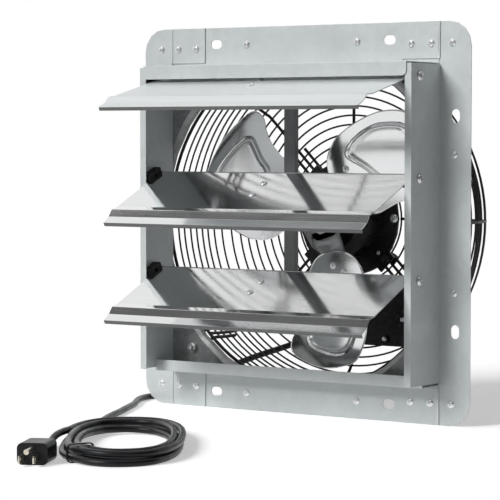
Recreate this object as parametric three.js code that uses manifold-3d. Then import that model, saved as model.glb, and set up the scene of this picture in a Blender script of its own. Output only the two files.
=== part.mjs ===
// Wall-mounted shutter exhaust fan: a folded sheet-metal box with three linked gravity louvers in front,
// a three-blade fan on a motor behind it, a welded wire guard, a wiring box and a mains lead with its plug.
// Units are millimetres. X runs to the right and Z up, seen from the louvers.
// Y runs from the louvers to the guard.
// The origin is the centre of the mounting flange's front plane.

import * as THREE from 'three';
import { mergeVertices } from 'three/addons/utils/BufferGeometryUtils.js';
import Module from 'manifold-3d';

const wasm = await Module();
wasm.setup();

// Steps of round shapes
const mergeTolerance = 1e-4;      // points nearer than this are one point
const circleSteps = 12;
const smallSteps = 10;
const arcSteps = 2;               // quarter circle in an outline
const wireSides = 3;
const rimWireSides = 4;
const plugArcSteps = 4;
const tieArcSteps = 3;
const lipBendSteps = 2;
const leadSteps = 40;
const tailSteps = 12;
const coilFineSteps = 4000;       // points from which the coil's even ones are picked

// Overall sizes
const sheet = 1;                  // steel sheet of the frame
const seatGap = 0.3;              // gap between pieces that touch
const tabGap = 0.2;               // gap under the frame's joining tabs
const cutOverrun = 3;             // how far a cutting tool runs past the faces it cuts
const flangeHalf = 195;           // half of the square mounting flange
const flangeCornerRadius = 24;
const flangeBorder = 34;          // flange outside the box's side walls
const boxHalfWidth = flangeHalf - flangeBorder;
const boxDepth = 54;              // from the flange's front plane to the box's front edge
const sideWallMargin = 41.2;      // from the flange's edge to the end of a side wall
const sideWallHalfHeight = flangeHalf - sideWallMargin;
const sideLipWidth = 7.3;         // fold at the side walls' front edge
const tabReach = 77.5;            // joining tab, from the flange's edge inwards
const tabWidth = 35.7;            // joining tab, from the flange's edge towards the box
const tabInnerHeight = flangeHalf - tabWidth;

// Top and bottom of the box
const topWallMargin = 40.5;       // from the flange's edge to the inner face of the top wall
const topWallHeight = flangeHalf - topWallMargin;
const topWallInset = 5;           // top wall's end inside the side wall's outer face
const topWallHalfLength = boxHalfWidth - topWallInset;
const topLipDrop = 12.6;          // fold at the top wall's front edge
const topLipCornerRadius = 5;
const bottomWallMargin = 39;      // from the flange's edge to the inner face of the bottom wall
const bottomWallHeight = flangeHalf - bottomWallMargin;
const bottomWallDepth = 30;
const bottomLipRise = 11.2;

// Mounting slots
const slotLength = 13.5;
const slotWidth = 9;
const slotEndMargin = 91.2;       // from the flange's corner, along its edge
const slotEdgeMargin = 16.8;      // from the flange's edge
const slotSpread = flangeHalf - slotEndMargin;
const slotDistance = flangeHalf - slotEdgeMargin;
const plateSlotMargin = 1;        // the plate behind has wider slots

// Orifice plate behind the flange
const plateSheet = 1;
const plateMargin = 7;            // flange outside the plate
const plateHalf = flangeHalf - plateMargin;
const plateCornerRadius = 20;
const orificeMargin = 17;         // plate outside the orifice, at its narrowest
const orificeRadius = plateHalf - orificeMargin;
const orificeLipRadius = 5;       // bend from the plate into its rearward lip
const lipSeam = 2;                // flat ring of the lip that lies in the plate
const lipSwell = 0.1;             // the lip is a little thicker than the plate where it is drawn
const plateSegments = 32;         // faces round the orifice

// Shutter blades
const louverCount = 3;
const topPivotDrop = 13.1;        // top pivot below the top wall
const louverFootGap = 5.2;        // closed bottom blade above the bottom wall
const topPivotHeight = topWallHeight - topPivotDrop;
const louverPitch = (topPivotHeight + bottomWallHeight - louverFootGap) / louverCount;
const pivotInset = 15.3;          // pivots behind the box's front edge
const pivotDepth = boxDepth - pivotInset;
const louverTilts = [14, 25, 25]; // degrees below the horizontal, from the top, as photographed
const louverEndGap = 8.4;         // blade's end from the side wall's inner face
const louverHalfLength = boxHalfWidth - sheet - louverEndGap;
const louverSheet = 1;
const louverBack = 9;             // panel behind its pivot
const creaseMargin = 25.6;        // panel's crease short of the next pivot
const louverFront = louverPitch - creaseMargin;
// Folded front edge: forward from the crease and up from the panel
const stripFolds = [[8.9, 1.55], [17, -2.8], [26.8, -4.6], [26.4, -8.1]];
const backBeadRadius = 0.8;

// Hinge blocks and pivot screws
const blockBack = 10;
const blockFront = 12;
const blockRise = 5.8;
const blockDrop = 4.6;
const blockCornerRadius = 2;
const blockTongue = 5;            // reach of the block under the blade's end
const pivotRadius = 2;
const pivotClearance = 0.3;
const pivotReach = 7;             // screw length inside the wall
const screwHeadRadius = 4.6;
const screwHeadHeight = 2.3;

// Linkage
const tiePinOffset = [13.84, -7.2]; // behind and above each pivot
const tiePinRadius = 1.25;
const tiePinClearance = 0.25;
const tiePinHeadRadius = 2.4;
const tiePinHeadHeight = 1;
const tiePinTailRadius = 1.6;
const barCentre = 5;
const barWidth = 12.6;
const barInset = 10.9;            // bar's front face behind the pivots
const barFront = pivotDepth - barInset;
const barDepth = 6.5;
const barSheet = 1;
const barEndMargin = 4.2;         // bar past its end pins
const bracketSheet = 1;
const bracketFootWidth = 13;
const bracketFootSpan = [6, 46];  // along the blade, forward of the pivot
const bracketWebDrop = 9;
const eyeSpan = [-90, 18];        // degrees of the web's round end behind the pin
const eyeSteps = 6;
const bracketGap = 0.5;           // between the bracket and the bar

// Depths of the motor and the wheel, from the guard's back
const guardBackDepth = 99;
const motorStandOff = 10;         // motor's back before the guard's back
const motorLength = 34;
const hubStandOff = 14;           // spider's disc before the motor
const bladeStandOff = 5;          // blades' pitch axes behind the spider's disc
const shaftReach = 19;            // shaft before the spider's disc
const motorBack = guardBackDepth - motorStandOff;
const motorFront = motorBack - motorLength;
const hubPlane = motorFront - hubStandOff;
const bladePlane = hubPlane + bladeStandOff;
const shaftTip = hubPlane - shaftReach;

// Fan wheel
const bladeCount = 3;
const bladeStartAngle = 145.6;    // the first blade's pitch axis
const bladeSheet = 1.4;
const bladeRootAngle = -18;       // degrees of pitch, with the leading edge behind
const bladeTipAngle = -14.5;
const bladeCamber = 3;
const bladeMiddle = 24;           // blade's middle line, beside its pitch axis
const bladeRows = 11;
const bladeColumns = 6;
const tipMargin = 19;             // blade tips inside the orifice
const tipRadius = orificeRadius - tipMargin;
// Blade's edges as shares of the tip radius, with degrees from the pitch axis
const trailingEdgeShares = [[0.224, 25], [0.243, 35.5], [0.263, 42], [0.289, 48], [0.329, 52], [0.382, 54.2],
  [0.441, 53.6], [0.493, 51.6], [0.559, 48.8], [0.635, 44], [0.711, 39.4], [0.809, 33.8], [0.88, 29.6],
  [0.955, 24], [0.984, 20], [0.993, 13], [1, 7]];
const leadingEdgeShares = [[0.224, 6], [0.259, -10], [0.303, -16], [0.388, -19], [0.46, -16.2],
  [0.542, -13.6], [0.602, -12.8], [0.696, -12.7], [0.796, -14.4], [0.87, -16.4], [0.936, -16],
  [0.972, -13.8], [0.987, -8.5], [1, 0]];
const armAngle = 22.5;            // spider arm from the blade's pitch axis
const armWaist = 16;              // half width of a spider arm at its neck
const armTip = 20;                // half width of a spider arm at its end
const armEndRadius = 63;
const armNeckRadius = 38;
const armSheet = 2;
const armRows = 5;
const armColumns = 2;
const spiderDiscRadius = 22;
const hubRadius = 11;
const hubLength = 22;
const hubBackLength = 8;          // barrel behind the pitch plane
const shaftRadius = 4;
const shaftClearance = 0.3;

// Rings on the guard's back
const backRingInset = 26.25;      // outermost ring inside the orifice's edge
const firstBackRing = 6;
const lastBackRing = 15;
const backRingReach = orificeRadius - backRingInset;
const backRingPitch = backRingReach / lastBackRing;
const firstRingRadius = firstBackRing * backRingPitch;

// Motor
const motorRadius = 42;
const motorShoulder = 8;
const motorNoseRadius = 15;
const motorNoseLength = 3;
const motorEndRadius = 32;
const motorFaceDish = 1;          // end face, from its nose to its rim
const motorEdge = 2;              // bevel between the shoulder and the side
const finCount = 16;
const ventDepth = 2;
const ventWidth = 3.4;
const ventLength = 16;
const bracketSheetThickness = 2.5;
const bracketDiscLap = 2.1;       // bracket's disc past the first ring
const bracketDiscRadius = firstRingRadius + bracketDiscLap;
const bracketArmWidth = 22;
const bracketBoltLap = 3.6;       // bolts past the first ring
const bracketBoltSpread = firstRingRadius + bracketBoltLap;
const bracketArmMargin = 5;       // arm past its bolt
const bracketArmEnd = bracketBoltSpread + bracketArmMargin;
const bracketBoltOffset = 3.7;    // beside the guard's diagonal wire
const bracketBoltRadius = 1.8;
const bracketWasherRadius = 5.5;
const rearCoverRadius = 30;
const rearCoverDepth = 11;

// Wire guard: distances inside the orifice's edge, with depths
const rimWireRadius = 1.75;
const ringWireRadius = 1;
const rimInset = [1.2, 10.7];
const sideInsets = [[0.3, 24.4], [-0.2, 35.1], [0.7, 44.9], [0.2, 56.1], [2.4, 63.4], [4.4, 70.7],
  [5.6, 80.5], [9.6, 89], [17.6, 95.3]];
const ribShoulderInset = [20.4, 95.6];
const ribCornerInset = 28.6;
const ribCount = 8;
const ribWidth = 3.2;
const ringSegments = 24;
const ribRailOffset = 7.4;
const ribRailEnd = 93.5;
const lugRadius = 6;
const lugReach = 18.2;            // guard bolts outside the orifice, on the diagonals
const lugDistance = orificeRadius + lugReach;
const lugSteps = 6;
const guardBoltRadius = 2.4;
const guardBoltTip = 7;           // bolt before the flange plane
const nutRadius = 4.6;
const nutHeight = 3.6;
const washerRadius = 8;
const washerHeight = 1.2;

// Wiring box on the back of the guard
const wiringBoxLeft = 12;
const wiringBoxRight = 62;
const wiringBoxLap = 4.1;         // box's top past the first ring
const wiringBoxInset = 13.75;     // box's bottom inside the outermost back ring
const wiringBoxTop = -firstRingRadius - wiringBoxLap;
const wiringBoxBottom = wiringBoxInset - backRingReach;
const wiringBoxDepth = 25;
const wiringBoxCorner = 5;
const wiringBoxWall = 2;
const clampSheet = 1.6;
const clampRight = 66;
// Clamp screws stand between two rings, from the box's lower right corner
const clampScrewSpots = [[1.02639, 28.15028], [-20.87882, 7.38518]];
const clampScrewRadius = 1.9;
const clampScrewHeadRadius = 4.2;
const clampWasherRadius = 9.3;
const clampEarRadius = 9.5;

// Mains lead
const cordRadius = 3.25;
const floorHeight = -flangeHalf;
const glandLength = 26;
const glandRootRadius = 6.5;
const glandTipRadius = 4.3;
const glandRise = 16;             // gland's axis above the wiring box's bottom
const glandHeight = wiringBoxBottom + glandRise;
const glandDepth = 12;            // gland's axis behind the wiring box's front
const cordSides = 8;
const coilLoops = 4;
const coilPitch = 7.4;
const coilLayer = 7.1;
const coilHalfWidth = 54.7;
const coilHalfLength = 128;
const coilSquareness = 2.5;
const coilLengthwisePitch = 2;    // widening of the loops along the coil, as a multiple of the pitch
const coilStart = 136;            // degrees, where the lead enters the coil
const coilEndTurn = 0.06;
const coilSteps = 24;
const coilSides = 6;
const coilCentre = [15, -308];
const coilTurn = 34.84;           // degrees, the coil's short axis from the X axis
const tieAngle = 232;             // degrees round the coil
const tieThickness = 1;
const tieWidth = 3;
const tieLiftSpread = 30;         // degrees over which the coil rises onto its tie
const leadStraight = 13;          // lead's straight start out of the gland
const leadDroop = 1;              // lead's drop over its straight start
// The lead from the gland to the coil: across, depth and rise over its rest on the floor
const leadPlaces = [[-46, 108.5, 70.75], [-66, 107.5, 61.75], [-88, 105.5, 53.25], [-110, 101.5, 45.75],
  [-131, 95, 37.75], [-151, 85, 28.25], [-170, 72, 17.25], [-187, 57, 7.25], [-200, 40, 0.95],
  [-206.5, 22, 0], [-203, 2, 0], [-192, -20, 0], [-177, -44, 0], [-162, -75, 0], [-147, -106, 0],
  [-132, -140, 0], [-114, -176, 0]];
// The lead from the coil to the plug: across and along the coil, and rise over its rest on the floor
const tailPlaces = [[-57.5, 40, coilLayer], [-63.5, 19, 5.4], [-66, -3, 1.5], [-65, -22, 0]];

// Plug
const plugPlace = [-10, -382];    // where the lead enters the plug
const plugWayShares = [0.44, -0.898];
const plugLength = 34;
const plugWidth = 27;
const plugHeight = 19;
const plugShoulder = 7;
const reliefLength = 30;
const reliefRadius = 5.4;
const reliefCore = 4.4;           // radius between the relief's ribs
const reliefRibs = 3;
const bladePinLength = 16;
const bladePinWidth = 6.4;
const bladePinThickness = 1.5;
const bladePinSpread = 6.35;
const bladePinHoleRadius = 1.6;
const groundPinLength = 21;
const groundPinRadius = 2.4;
const groundPinRise = 7.5;

// Materials
const galvanised = { color: 0xc9cfcd, roughness: 0.42, metalness: 0.9 };
const polished = { color: 0xd9dadb, roughness: 0.16, metalness: 1 };
const blackPaint = { color: 0x151515, roughness: 0.45, metalness: 0.3 };
const blackPlastic = { color: 0x171717, roughness: 0.55, metalness: 0 };
const zincSteel = { color: 0xb9bcbd, roughness: 0.35, metalness: 0.95 };
const cordRubber = { color: 0x121212, roughness: 0.6, metalness: 0 };
const brassMetal = { color: 0xc9b56a, roughness: 0.3, metalness: 1 };

const fan = new THREE.Group();

function add(name, shape, finish) {
  const geometry = shape.isBufferGeometry ? shape : geometryOf(shape);
  const mesh = new THREE.Mesh(geometry, new THREE.MeshStandardMaterial(finish));
  mesh.name = name;
  fan.add(mesh);
  return mesh;
}

// Booleans

function solidOf(geometry) {
  const bare = geometry.clone();
  bare.deleteAttribute('normal');
  bare.deleteAttribute('uv');
  const merged = mergeVertices(bare, mergeTolerance);
  return new wasm.Manifold(new wasm.Mesh({
    numProp: 3,
    vertProperties: merged.attributes.position.array,
    triVerts: new Uint32Array(merged.index.array),
  }));
}

function geometryOf(solid) {
  const mesh = solid.getMesh();
  const geometry = new THREE.BufferGeometry();
  geometry.setAttribute('position', new THREE.BufferAttribute(mesh.vertProperties, 3));
  geometry.setIndex(new THREE.BufferAttribute(mesh.triVerts, 1));
  geometry.computeVertexNormals();
  return geometry;
}

const join = (solids) => solids.reduce((sum, solid) => sum.add(solid));
const cut = (solid, tools) => tools.reduce((rest, tool) => rest.subtract(tool), solid);

// Shapes

const radians = THREE.MathUtils.degToRad;

function polygon(points) {
  return new THREE.Shape(points.map(([x, y]) => new THREE.Vector2(x, y)));
}

function circlePoints(radius, sides) {
  return Array.from({ length: sides }, (_, side) => {
    const angle = 2 * Math.PI * side / sides;
    return [radius * Math.cos(angle), radius * Math.sin(angle)];
  });
}

function place(geometry, xAxis, yAxis, origin) {
  const zAxis = new THREE.Vector3().crossVectors(xAxis, yAxis);
  const frame = new THREE.Matrix4().makeBasis(xAxis, yAxis, zAxis).setPosition(origin);
  return geometry.applyMatrix4(frame);
}

const unitX = new THREE.Vector3(1, 0, 0);
const unitY = new THREE.Vector3(0, 1, 0);
const unitZ = new THREE.Vector3(0, 0, 1);

// A shape drawn in X and Z, from one depth to a deeper one
function slab(shape, front, back, curveSegments = arcSteps) {
  const depth = back - front;
  const geometry = new THREE.ExtrudeGeometry(shape, { depth, bevelEnabled: false, curveSegments });
  return solidOf(place(geometry, unitX, unitZ, new THREE.Vector3(0, back, 0)));
}

// A shape drawn in Y and Z, along X
function bar(shape, left, right, curveSegments = arcSteps) {
  const depth = right - left;
  const geometry = new THREE.ExtrudeGeometry(shape, { depth, bevelEnabled: false, curveSegments });
  return solidOf(place(geometry, unitY, unitZ, new THREE.Vector3(left, 0, 0)));
}

function block(xs, ys, zs) {
  const [x, y, z] = [xs, ys, zs].map(([low, high]) => [high - low, (high + low) / 2]);
  return solidOf(new THREE.BoxGeometry(x[0], y[0], z[0]).translate(x[1], y[1], z[1]));
}

function roundedRectangle(left, right, bottom, top, radius) {
  const shape = new THREE.Shape();
  const quarter = Math.PI / 2;
  shape.absarc(right - radius, top - radius, radius, 0, quarter);
  shape.absarc(left + radius, top - radius, radius, quarter, 2 * quarter);
  shape.absarc(left + radius, bottom + radius, radius, 2 * quarter, 3 * quarter);
  shape.absarc(right - radius, bottom + radius, radius, 3 * quarter, 4 * quarter);
  return shape;
}

function stadium(centreX, centreY, length, width, upright) {
  const reach = [length, width].map((size) => size / 2);
  const [halfX, halfY] = upright ? reach.reverse() : reach;
  return roundedRectangle(centreX - halfX, centreX + halfX, centreY - halfY, centreY + halfY, width / 2);
}

function disc(radius) {
  const shape = new THREE.Shape();
  shape.absarc(0, 0, radius, 0, 2 * Math.PI);
  return shape;
}

// A round rod between two points
function rod(radius, from, to, sides = smallSteps) {
  const axis = new THREE.Vector3().subVectors(to, from);
  const geometry = new THREE.CylinderGeometry(radius, radius, axis.length(), sides);
  const turn = new THREE.Quaternion().setFromUnitVectors(unitY, axis.clone().normalize());
  const middle = new THREE.Vector3().addVectors(from, to).divideScalar(2);
  return solidOf(geometry.applyQuaternion(turn).translate(middle.x, middle.y, middle.z));
}

const rodX = (radius, y, z, x0, x1, sides) =>
  rod(radius, new THREE.Vector3(x0, y, z), new THREE.Vector3(x1, y, z), sides);
const rodY = (radius, x, z, y0, y1, sides) =>
  rod(radius, new THREE.Vector3(x, y0, z), new THREE.Vector3(x, y1, z), sides);

// A profile of distance and depth points turned about the fan's axis
function turned(profile, segments) {
  const points = profile.map(([radius, depth]) => new THREE.Vector2(radius, depth));
  return solidOf(new THREE.LatheGeometry(points, segments));
}

// A strip of sheet that follows a polyline, drawn as a closed outline
function stripOutline(points, thickness) {
  const sides = [1, -1].map((side) => points.map((point, index) => {
    const before = points[Math.max(index - 1, 0)];
    const after = points[Math.min(index + 1, points.length - 1)];
    const into = new THREE.Vector2(point[0] - before[0], point[1] - before[1]);
    const out = new THREE.Vector2(after[0] - point[0], after[1] - point[1]);
    const first = index === 0 ? out : into;
    const second = index === points.length - 1 ? into : out;
    const normals = [first, second].map((way) => new THREE.Vector2(-way.y, way.x).normalize());
    const mitre = normals[0].clone().add(normals[1]).normalize();
    const reach = side * thickness / 2 / mitre.dot(normals[0]);
    return [point[0] + mitre.x * reach, point[1] + mitre.y * reach];
  }));
  return [...sides[0], ...sides[1].reverse()];
}

const mirrorPlaces = (x, z) => [[x, z], [-x, z], [x, -z], [-x, -z]];

// Flange slots, the same in the frame and in the plate behind it
function flangeSlots(margin) {
  const size = [slotLength + 2 * margin, slotWidth + 2 * margin];
  const places = [
    ...mirrorPlaces(slotSpread, slotDistance).map(([x, z]) => stadium(x, z, ...size, false)),
    ...mirrorPlaces(slotDistance, slotSpread).map(([x, z]) => stadium(x, z, ...size, true)),
  ];
  return places.map((shape) => slab(shape, -cutOverrun, sheet + plateSheet + cutOverrun));
}

// Frame: two side pieces whose tabs lap over the top and the bottom piece

const wallInner = boxHalfWidth - sheet;
const tabFront = -tabGap - sheet;
const flangeOutline = roundedRectangle(-flangeHalf, flangeHalf, -flangeHalf, flangeHalf, flangeCornerRadius);
const slots = flangeSlots(0);

function framedSide(side) {
  const span = (near, far) => (side > 0 ? [near, far] : [-far, -near]);
  const flange = slab(flangeOutline, 0, sheet).intersect(
    block(span(wallInner, flangeHalf + cutOverrun), [-cutOverrun, cutOverrun],
      [-flangeHalf - cutOverrun, flangeHalf + cutOverrun]));
  const wallHeights = [-sideWallHalfHeight, sideWallHalfHeight];
  const wall = block(span(wallInner, boxHalfWidth), [-boxDepth, sheet], wallHeights);
  const lip = block(span(boxHalfWidth - sideLipWidth, boxHalfWidth), [-boxDepth, -boxDepth + sheet],
    wallHeights);
  const tabs = [1, -1].flatMap((end) => {
    const heights = end > 0 ? [tabInnerHeight, flangeHalf] : [-flangeHalf, -tabInnerHeight];
    const tab = block(span(flangeHalf - tabReach, boxHalfWidth), [tabFront, tabFront + sheet], heights);
    const joggle = block(span(wallInner, boxHalfWidth), [tabFront, sheet], heights);
    return [tab, joggle];
  });
  return cut(join([flange, wall, lip, ...tabs]), slots);
}

const pivotHeights = Array.from({ length: louverCount }, (_, index) => topPivotHeight - index * louverPitch);
const pivotHoles = pivotHeights.map((height) =>
  rodX(pivotRadius + pivotClearance, -pivotDepth, height, -flangeHalf, flangeHalf));

add('frame_left', cut(framedSide(-1), pivotHoles), galvanised);
add('frame_right', cut(framedSide(1), pivotHoles), galvanised);

const innerFlangeHalf = wallInner - seatGap;
const topFlange = block([-innerFlangeHalf, innerFlangeHalf], [0, sheet], [topWallHeight, flangeHalf]);
const topFront = -boxDepth - seatGap - sheet;
const topWall = block([-topWallHalfLength, topWallHalfLength], [topFront, sheet],
  [topWallHeight, topWallHeight + sheet]);
const topLip = slab(roundedRectangle(-topWallHalfLength, topWallHalfLength, topWallHeight - topLipDrop,
  topWallHeight + sheet + topLipCornerRadius, topLipCornerRadius), topFront, topFront + sheet)
  .intersect(block([-flangeHalf, flangeHalf], [topFront - cutOverrun, 0], [0, topWallHeight + sheet]));
add('frame_top', cut(join([topFlange, topWall, topLip]), slots), galvanised);

const bottomOuter = -bottomWallHeight - sheet;
const bottomFlange = block([-innerFlangeHalf, innerFlangeHalf], [0, sheet], [-flangeHalf, -bottomWallHeight]);
const bottomWall = block([-innerFlangeHalf, innerFlangeHalf], [-bottomWallDepth, sheet],
  [bottomOuter, -bottomWallHeight]);
const bottomLip = block([-innerFlangeHalf, innerFlangeHalf], [-bottomWallDepth, -bottomWallDepth + sheet],
  [bottomOuter, bottomOuter + bottomLipRise]);
add('frame_bottom', cut(join([bottomFlange, bottomWall, bottomLip]), slots), galvanised);

// Orifice plate with a rolled lip, and the holes for the guard's bolts

const plateFront = sheet + seatGap;
const plateBack = plateFront + plateSheet;
const boltHalf = lugDistance * Math.SQRT1_2;
const boltPlaces = mirrorPlaces(boltHalf, boltHalf);

function orificeLip() {
  const reach = plateSheet + orificeLipRadius;
  const centre = [orificeRadius + reach, plateFront + reach];
  const bend = Array.from({ length: lipBendSteps + 1 }, (_, index) => {
    const angle = Math.PI * (1.5 - index / lipBendSteps / 2);
    const radius = orificeLipRadius + plateSheet / 2;
    return [centre[0] + radius * Math.cos(angle), centre[1] + radius * Math.sin(angle)];
  });
  const start = [centre[0] + lipSeam * 2, bend[0][1]];
  const outline = stripOutline([start, ...bend], plateSheet + lipSwell).reverse();
  return turned([...outline, outline[0]], plateSegments);
}

const lip = orificeLip();
const plateHole = disc(orificeRadius + plateSheet + orificeLipRadius + lipSeam);
const plate = cut(slab(roundedRectangle(-plateHalf, plateHalf, -plateHalf, plateHalf, plateCornerRadius),
  plateFront, plateBack), [slab(plateHole, -cutOverrun, plateBack + cutOverrun, plateSegments / 2)]);
const boltHoles = boltPlaces.map(([x, z]) =>
  rodY(guardBoltRadius + seatGap, x, z, -cutOverrun, plateBack + cutOverrun, smallSteps));
add('orifice_plate', cut(plate.add(lip), [...flangeSlots(plateSlotMargin), ...boltHoles]), galvanised);

// Shutter blades: each is one folded sheet, drawn along its own panel and tilted about its pivot

function atLouver(index) {
  const tilt = radians(louverTilts[index]);
  const forward = [-Math.cos(tilt), -Math.sin(tilt)];
  const up = [-Math.sin(tilt), Math.cos(tilt)];
  return ([along, rise]) => [
    -pivotDepth + forward[0] * along + up[0] * rise,
    pivotHeights[index] + forward[1] * along + up[1] * rise,
  ];
}

const strip = stripFolds.map(([reach, rise]) => [louverFront + reach, rise]);
const louverLine = [[-louverBack, 0], [louverFront, 0], ...strip];

function louver(index) {
  const toBox = atLouver(index);
  const ends = [-louverHalfLength, louverHalfLength];
  const body = bar(polygon(stripOutline(louverLine, louverSheet).map(toBox)), ...ends);
  const bead = toBox([-louverBack, backBeadRadius - louverSheet / 2]);
  return body.add(rodX(backBeadRadius, ...bead, ...ends, smallSteps));
}

// Hinge blocks stand between the blade's ends and the walls, with a tongue under the blade

function hingeBlock(index, side) {
  const toBox = atLouver(index);
  const outline = roundedRectangle(-blockBack, blockFront, -blockDrop, blockRise, blockCornerRadius);
  const points = outline.getPoints(arcSteps).map(({ x, y }) => toBox([x, y]));
  const [tongueBack, tongueFront] = [-blockBack + blockCornerRadius, blockFront - blockCornerRadius];
  const under = -louverSheet / 2 - seatGap;
  const tonguePoints = [[tongueBack, -blockDrop], [tongueFront, -blockDrop], [tongueFront, under],
    [tongueBack, under]].map(toBox);
  const inner = louverHalfLength + seatGap;
  const outer = wallInner - seatGap;
  const ends = (near, far) => (side > 0 ? [near, far] : [-far, -near]);
  const body = bar(polygon(points), ...ends(inner, outer));
  const tongue = bar(polygon(tonguePoints), ...ends(louverHalfLength - blockTongue, outer - seatGap));
  const bore = rodX(pivotRadius + pivotClearance, -pivotDepth, pivotHeights[index],
    ...ends(louverHalfLength - blockTongue - cutOverrun, outer + cutOverrun));
  return body.add(tongue).subtract(bore);
}

function pivotScrew(index, side) {
  const height = pivotHeights[index];
  const headStart = boxHalfWidth + seatGap;
  const shankEnds = [wallInner - pivotReach, headStart + sheet].map((end) => side * end);
  const shank = rodX(pivotRadius, -pivotDepth, height, ...shankEnds);
  const headEnd = headStart + screwHeadHeight;
  const dome = [[0, headStart], [screwHeadRadius, headStart],
    [screwHeadRadius, headStart + screwHeadHeight / 3], [screwHeadRadius / 2, headEnd], [0, headEnd]];
  const points = dome.map(([radius, reach]) => new THREE.Vector2(radius, reach));
  const head = new THREE.LatheGeometry(points, circleSteps).rotateZ(side > 0 ? -Math.PI / 2 : Math.PI / 2);
  return shank.add(solidOf(head.translate(0, -pivotDepth, height)));
}

// Link brackets: a foot riveted under the blade and a web that reaches back to the tie bar's pin

const webRight = barCentre - barWidth / 2 - bracketGap;
const webLeft = webRight - bracketSheet;

function tiePinPlace(index) {
  return [-pivotDepth + tiePinOffset[0], pivotHeights[index] + tiePinOffset[1]];
}

function linkBracket(index) {
  const toBox = atLouver(index);
  const under = -louverSheet / 2 - seatGap;
  const footTop = [[bracketFootSpan[0], under], [bracketFootSpan[1], under]];
  const footBottom = footTop.map(([along, rise]) => [along, rise - bracketSheet]).reverse();
  const foot = bar(polygon([...footTop, ...footBottom].map(toBox)), webRight - bracketFootWidth, webRight);
  const [pinY, pinZ] = tiePinPlace(index);
  const eye = tiePinRadius + bracketSheet * 2;
  const eyePoints = Array.from({ length: eyeSteps + 1 }, (_, step) => {
    const angle = radians(THREE.MathUtils.lerp(...eyeSpan, step / eyeSteps));
    return [pinY + eye * Math.cos(angle), pinZ + eye * Math.sin(angle)];
  });
  const web = polygon([
    ...eyePoints,
    toBox([0, under - bracketSheet]),
    toBox([bracketFootSpan[0], under]),
    toBox([bracketFootSpan[1], under]),
    toBox([bracketFootSpan[1], under - bracketSheet]),
    toBox([bracketFootSpan[0] + bracketWebDrop, under - bracketWebDrop]),
  ]);
  const hole = rodX(tiePinRadius + tiePinClearance, pinY, pinZ, webLeft - cutOverrun, webRight + cutOverrun);
  return foot.add(bar(web, webLeft, webRight)).subtract(hole);
}

// Tie bar: a folded channel with an open back, pinned to the three brackets through its left side

const barLeft = barCentre - barWidth / 2;
const barRight = barCentre + barWidth / 2;
const barTop = tiePinPlace(0)[1] + barEndMargin;
const barBottom = tiePinPlace(louverCount - 1)[1] - barEndMargin;

function tieBar() {
  const front = block([barLeft, barRight], [-barFront, -barFront + barSheet], [barBottom, barTop]);
  const sides = [[barLeft, barLeft + barSheet], [barRight - barSheet, barRight]].map((xs) =>
    block(xs, [-barFront, -barFront + barDepth], [barBottom, barTop]));
  const holes = pivotHeights.map((_, index) => rodX(tiePinRadius + tiePinClearance, ...tiePinPlace(index),
    webLeft - cutOverrun, barCentre));
  return cut(join([front, ...sides]), holes);
}

function tiePin(index) {
  const spot = tiePinPlace(index);
  const headEnd = webLeft - seatGap;
  const tailStart = barLeft + barSheet + seatGap;
  const shank = rodX(tiePinRadius, ...spot, headEnd - tiePinHeadHeight, tailStart + tiePinHeadHeight);
  const head = rodX(tiePinHeadRadius, ...spot, headEnd - tiePinHeadHeight, headEnd);
  const tail = rodX(tiePinTailRadius, ...spot, tailStart, tailStart + tiePinHeadHeight);
  return join([shank, head, tail]);
}

const louverNames = ['top', 'middle', 'bottom'];
louverNames.forEach((name, index) => {
  add(`louver_${name}`, louver(index), polished);
  add(`link_bracket_${name}`, linkBracket(index), zincSteel);
  add(`tie_pin_${name}`, tiePin(index), zincSteel);
  [['left', -1], ['right', 1]].forEach(([end, side]) => {
    add(`hinge_block_${name}_${end}`, hingeBlock(index, side), blackPlastic);
    add(`pivot_screw_${name}_${end}`, pivotScrew(index, side), zincSteel);
  });
});
add('tie_bar', tieBar(), galvanised);

// Fan wheel: blades are pressed sheets on the three pitched arms of a spider

const rootRadius = trailingEdgeShares[0][0] * tipRadius;

function edgeAngle(table, radius) {
  const share = radius / tipRadius;
  const after = table.findIndex(([tableShare]) => tableShare >= share);
  if (after <= 0) return radians(table[after < 0 ? table.length - 1 : 0][1]);
  const [low, high] = [table[after - 1], table[after]];
  return radians(THREE.MathUtils.mapLinear(share, low[0], high[0], low[1], high[1]));
}

// Depth of the blade's middle surface, from its distance to the axis and its angle to the blade's pitch axis
function pitchDepth(radius, angle) {
  const share = THREE.MathUtils.clamp((radius - rootRadius) / (tipRadius - rootRadius), 0, 1);
  const pitch = radians(THREE.MathUtils.lerp(bladeRootAngle, bladeTipAngle, share));
  const across = radius * Math.sin(angle);
  const bow = bladeCamber * share * (1 - ((across - bladeMiddle) / (tipRadius / 2)) ** 2);
  return bladePlane + Math.tan(pitch) * across + bow;
}

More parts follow.
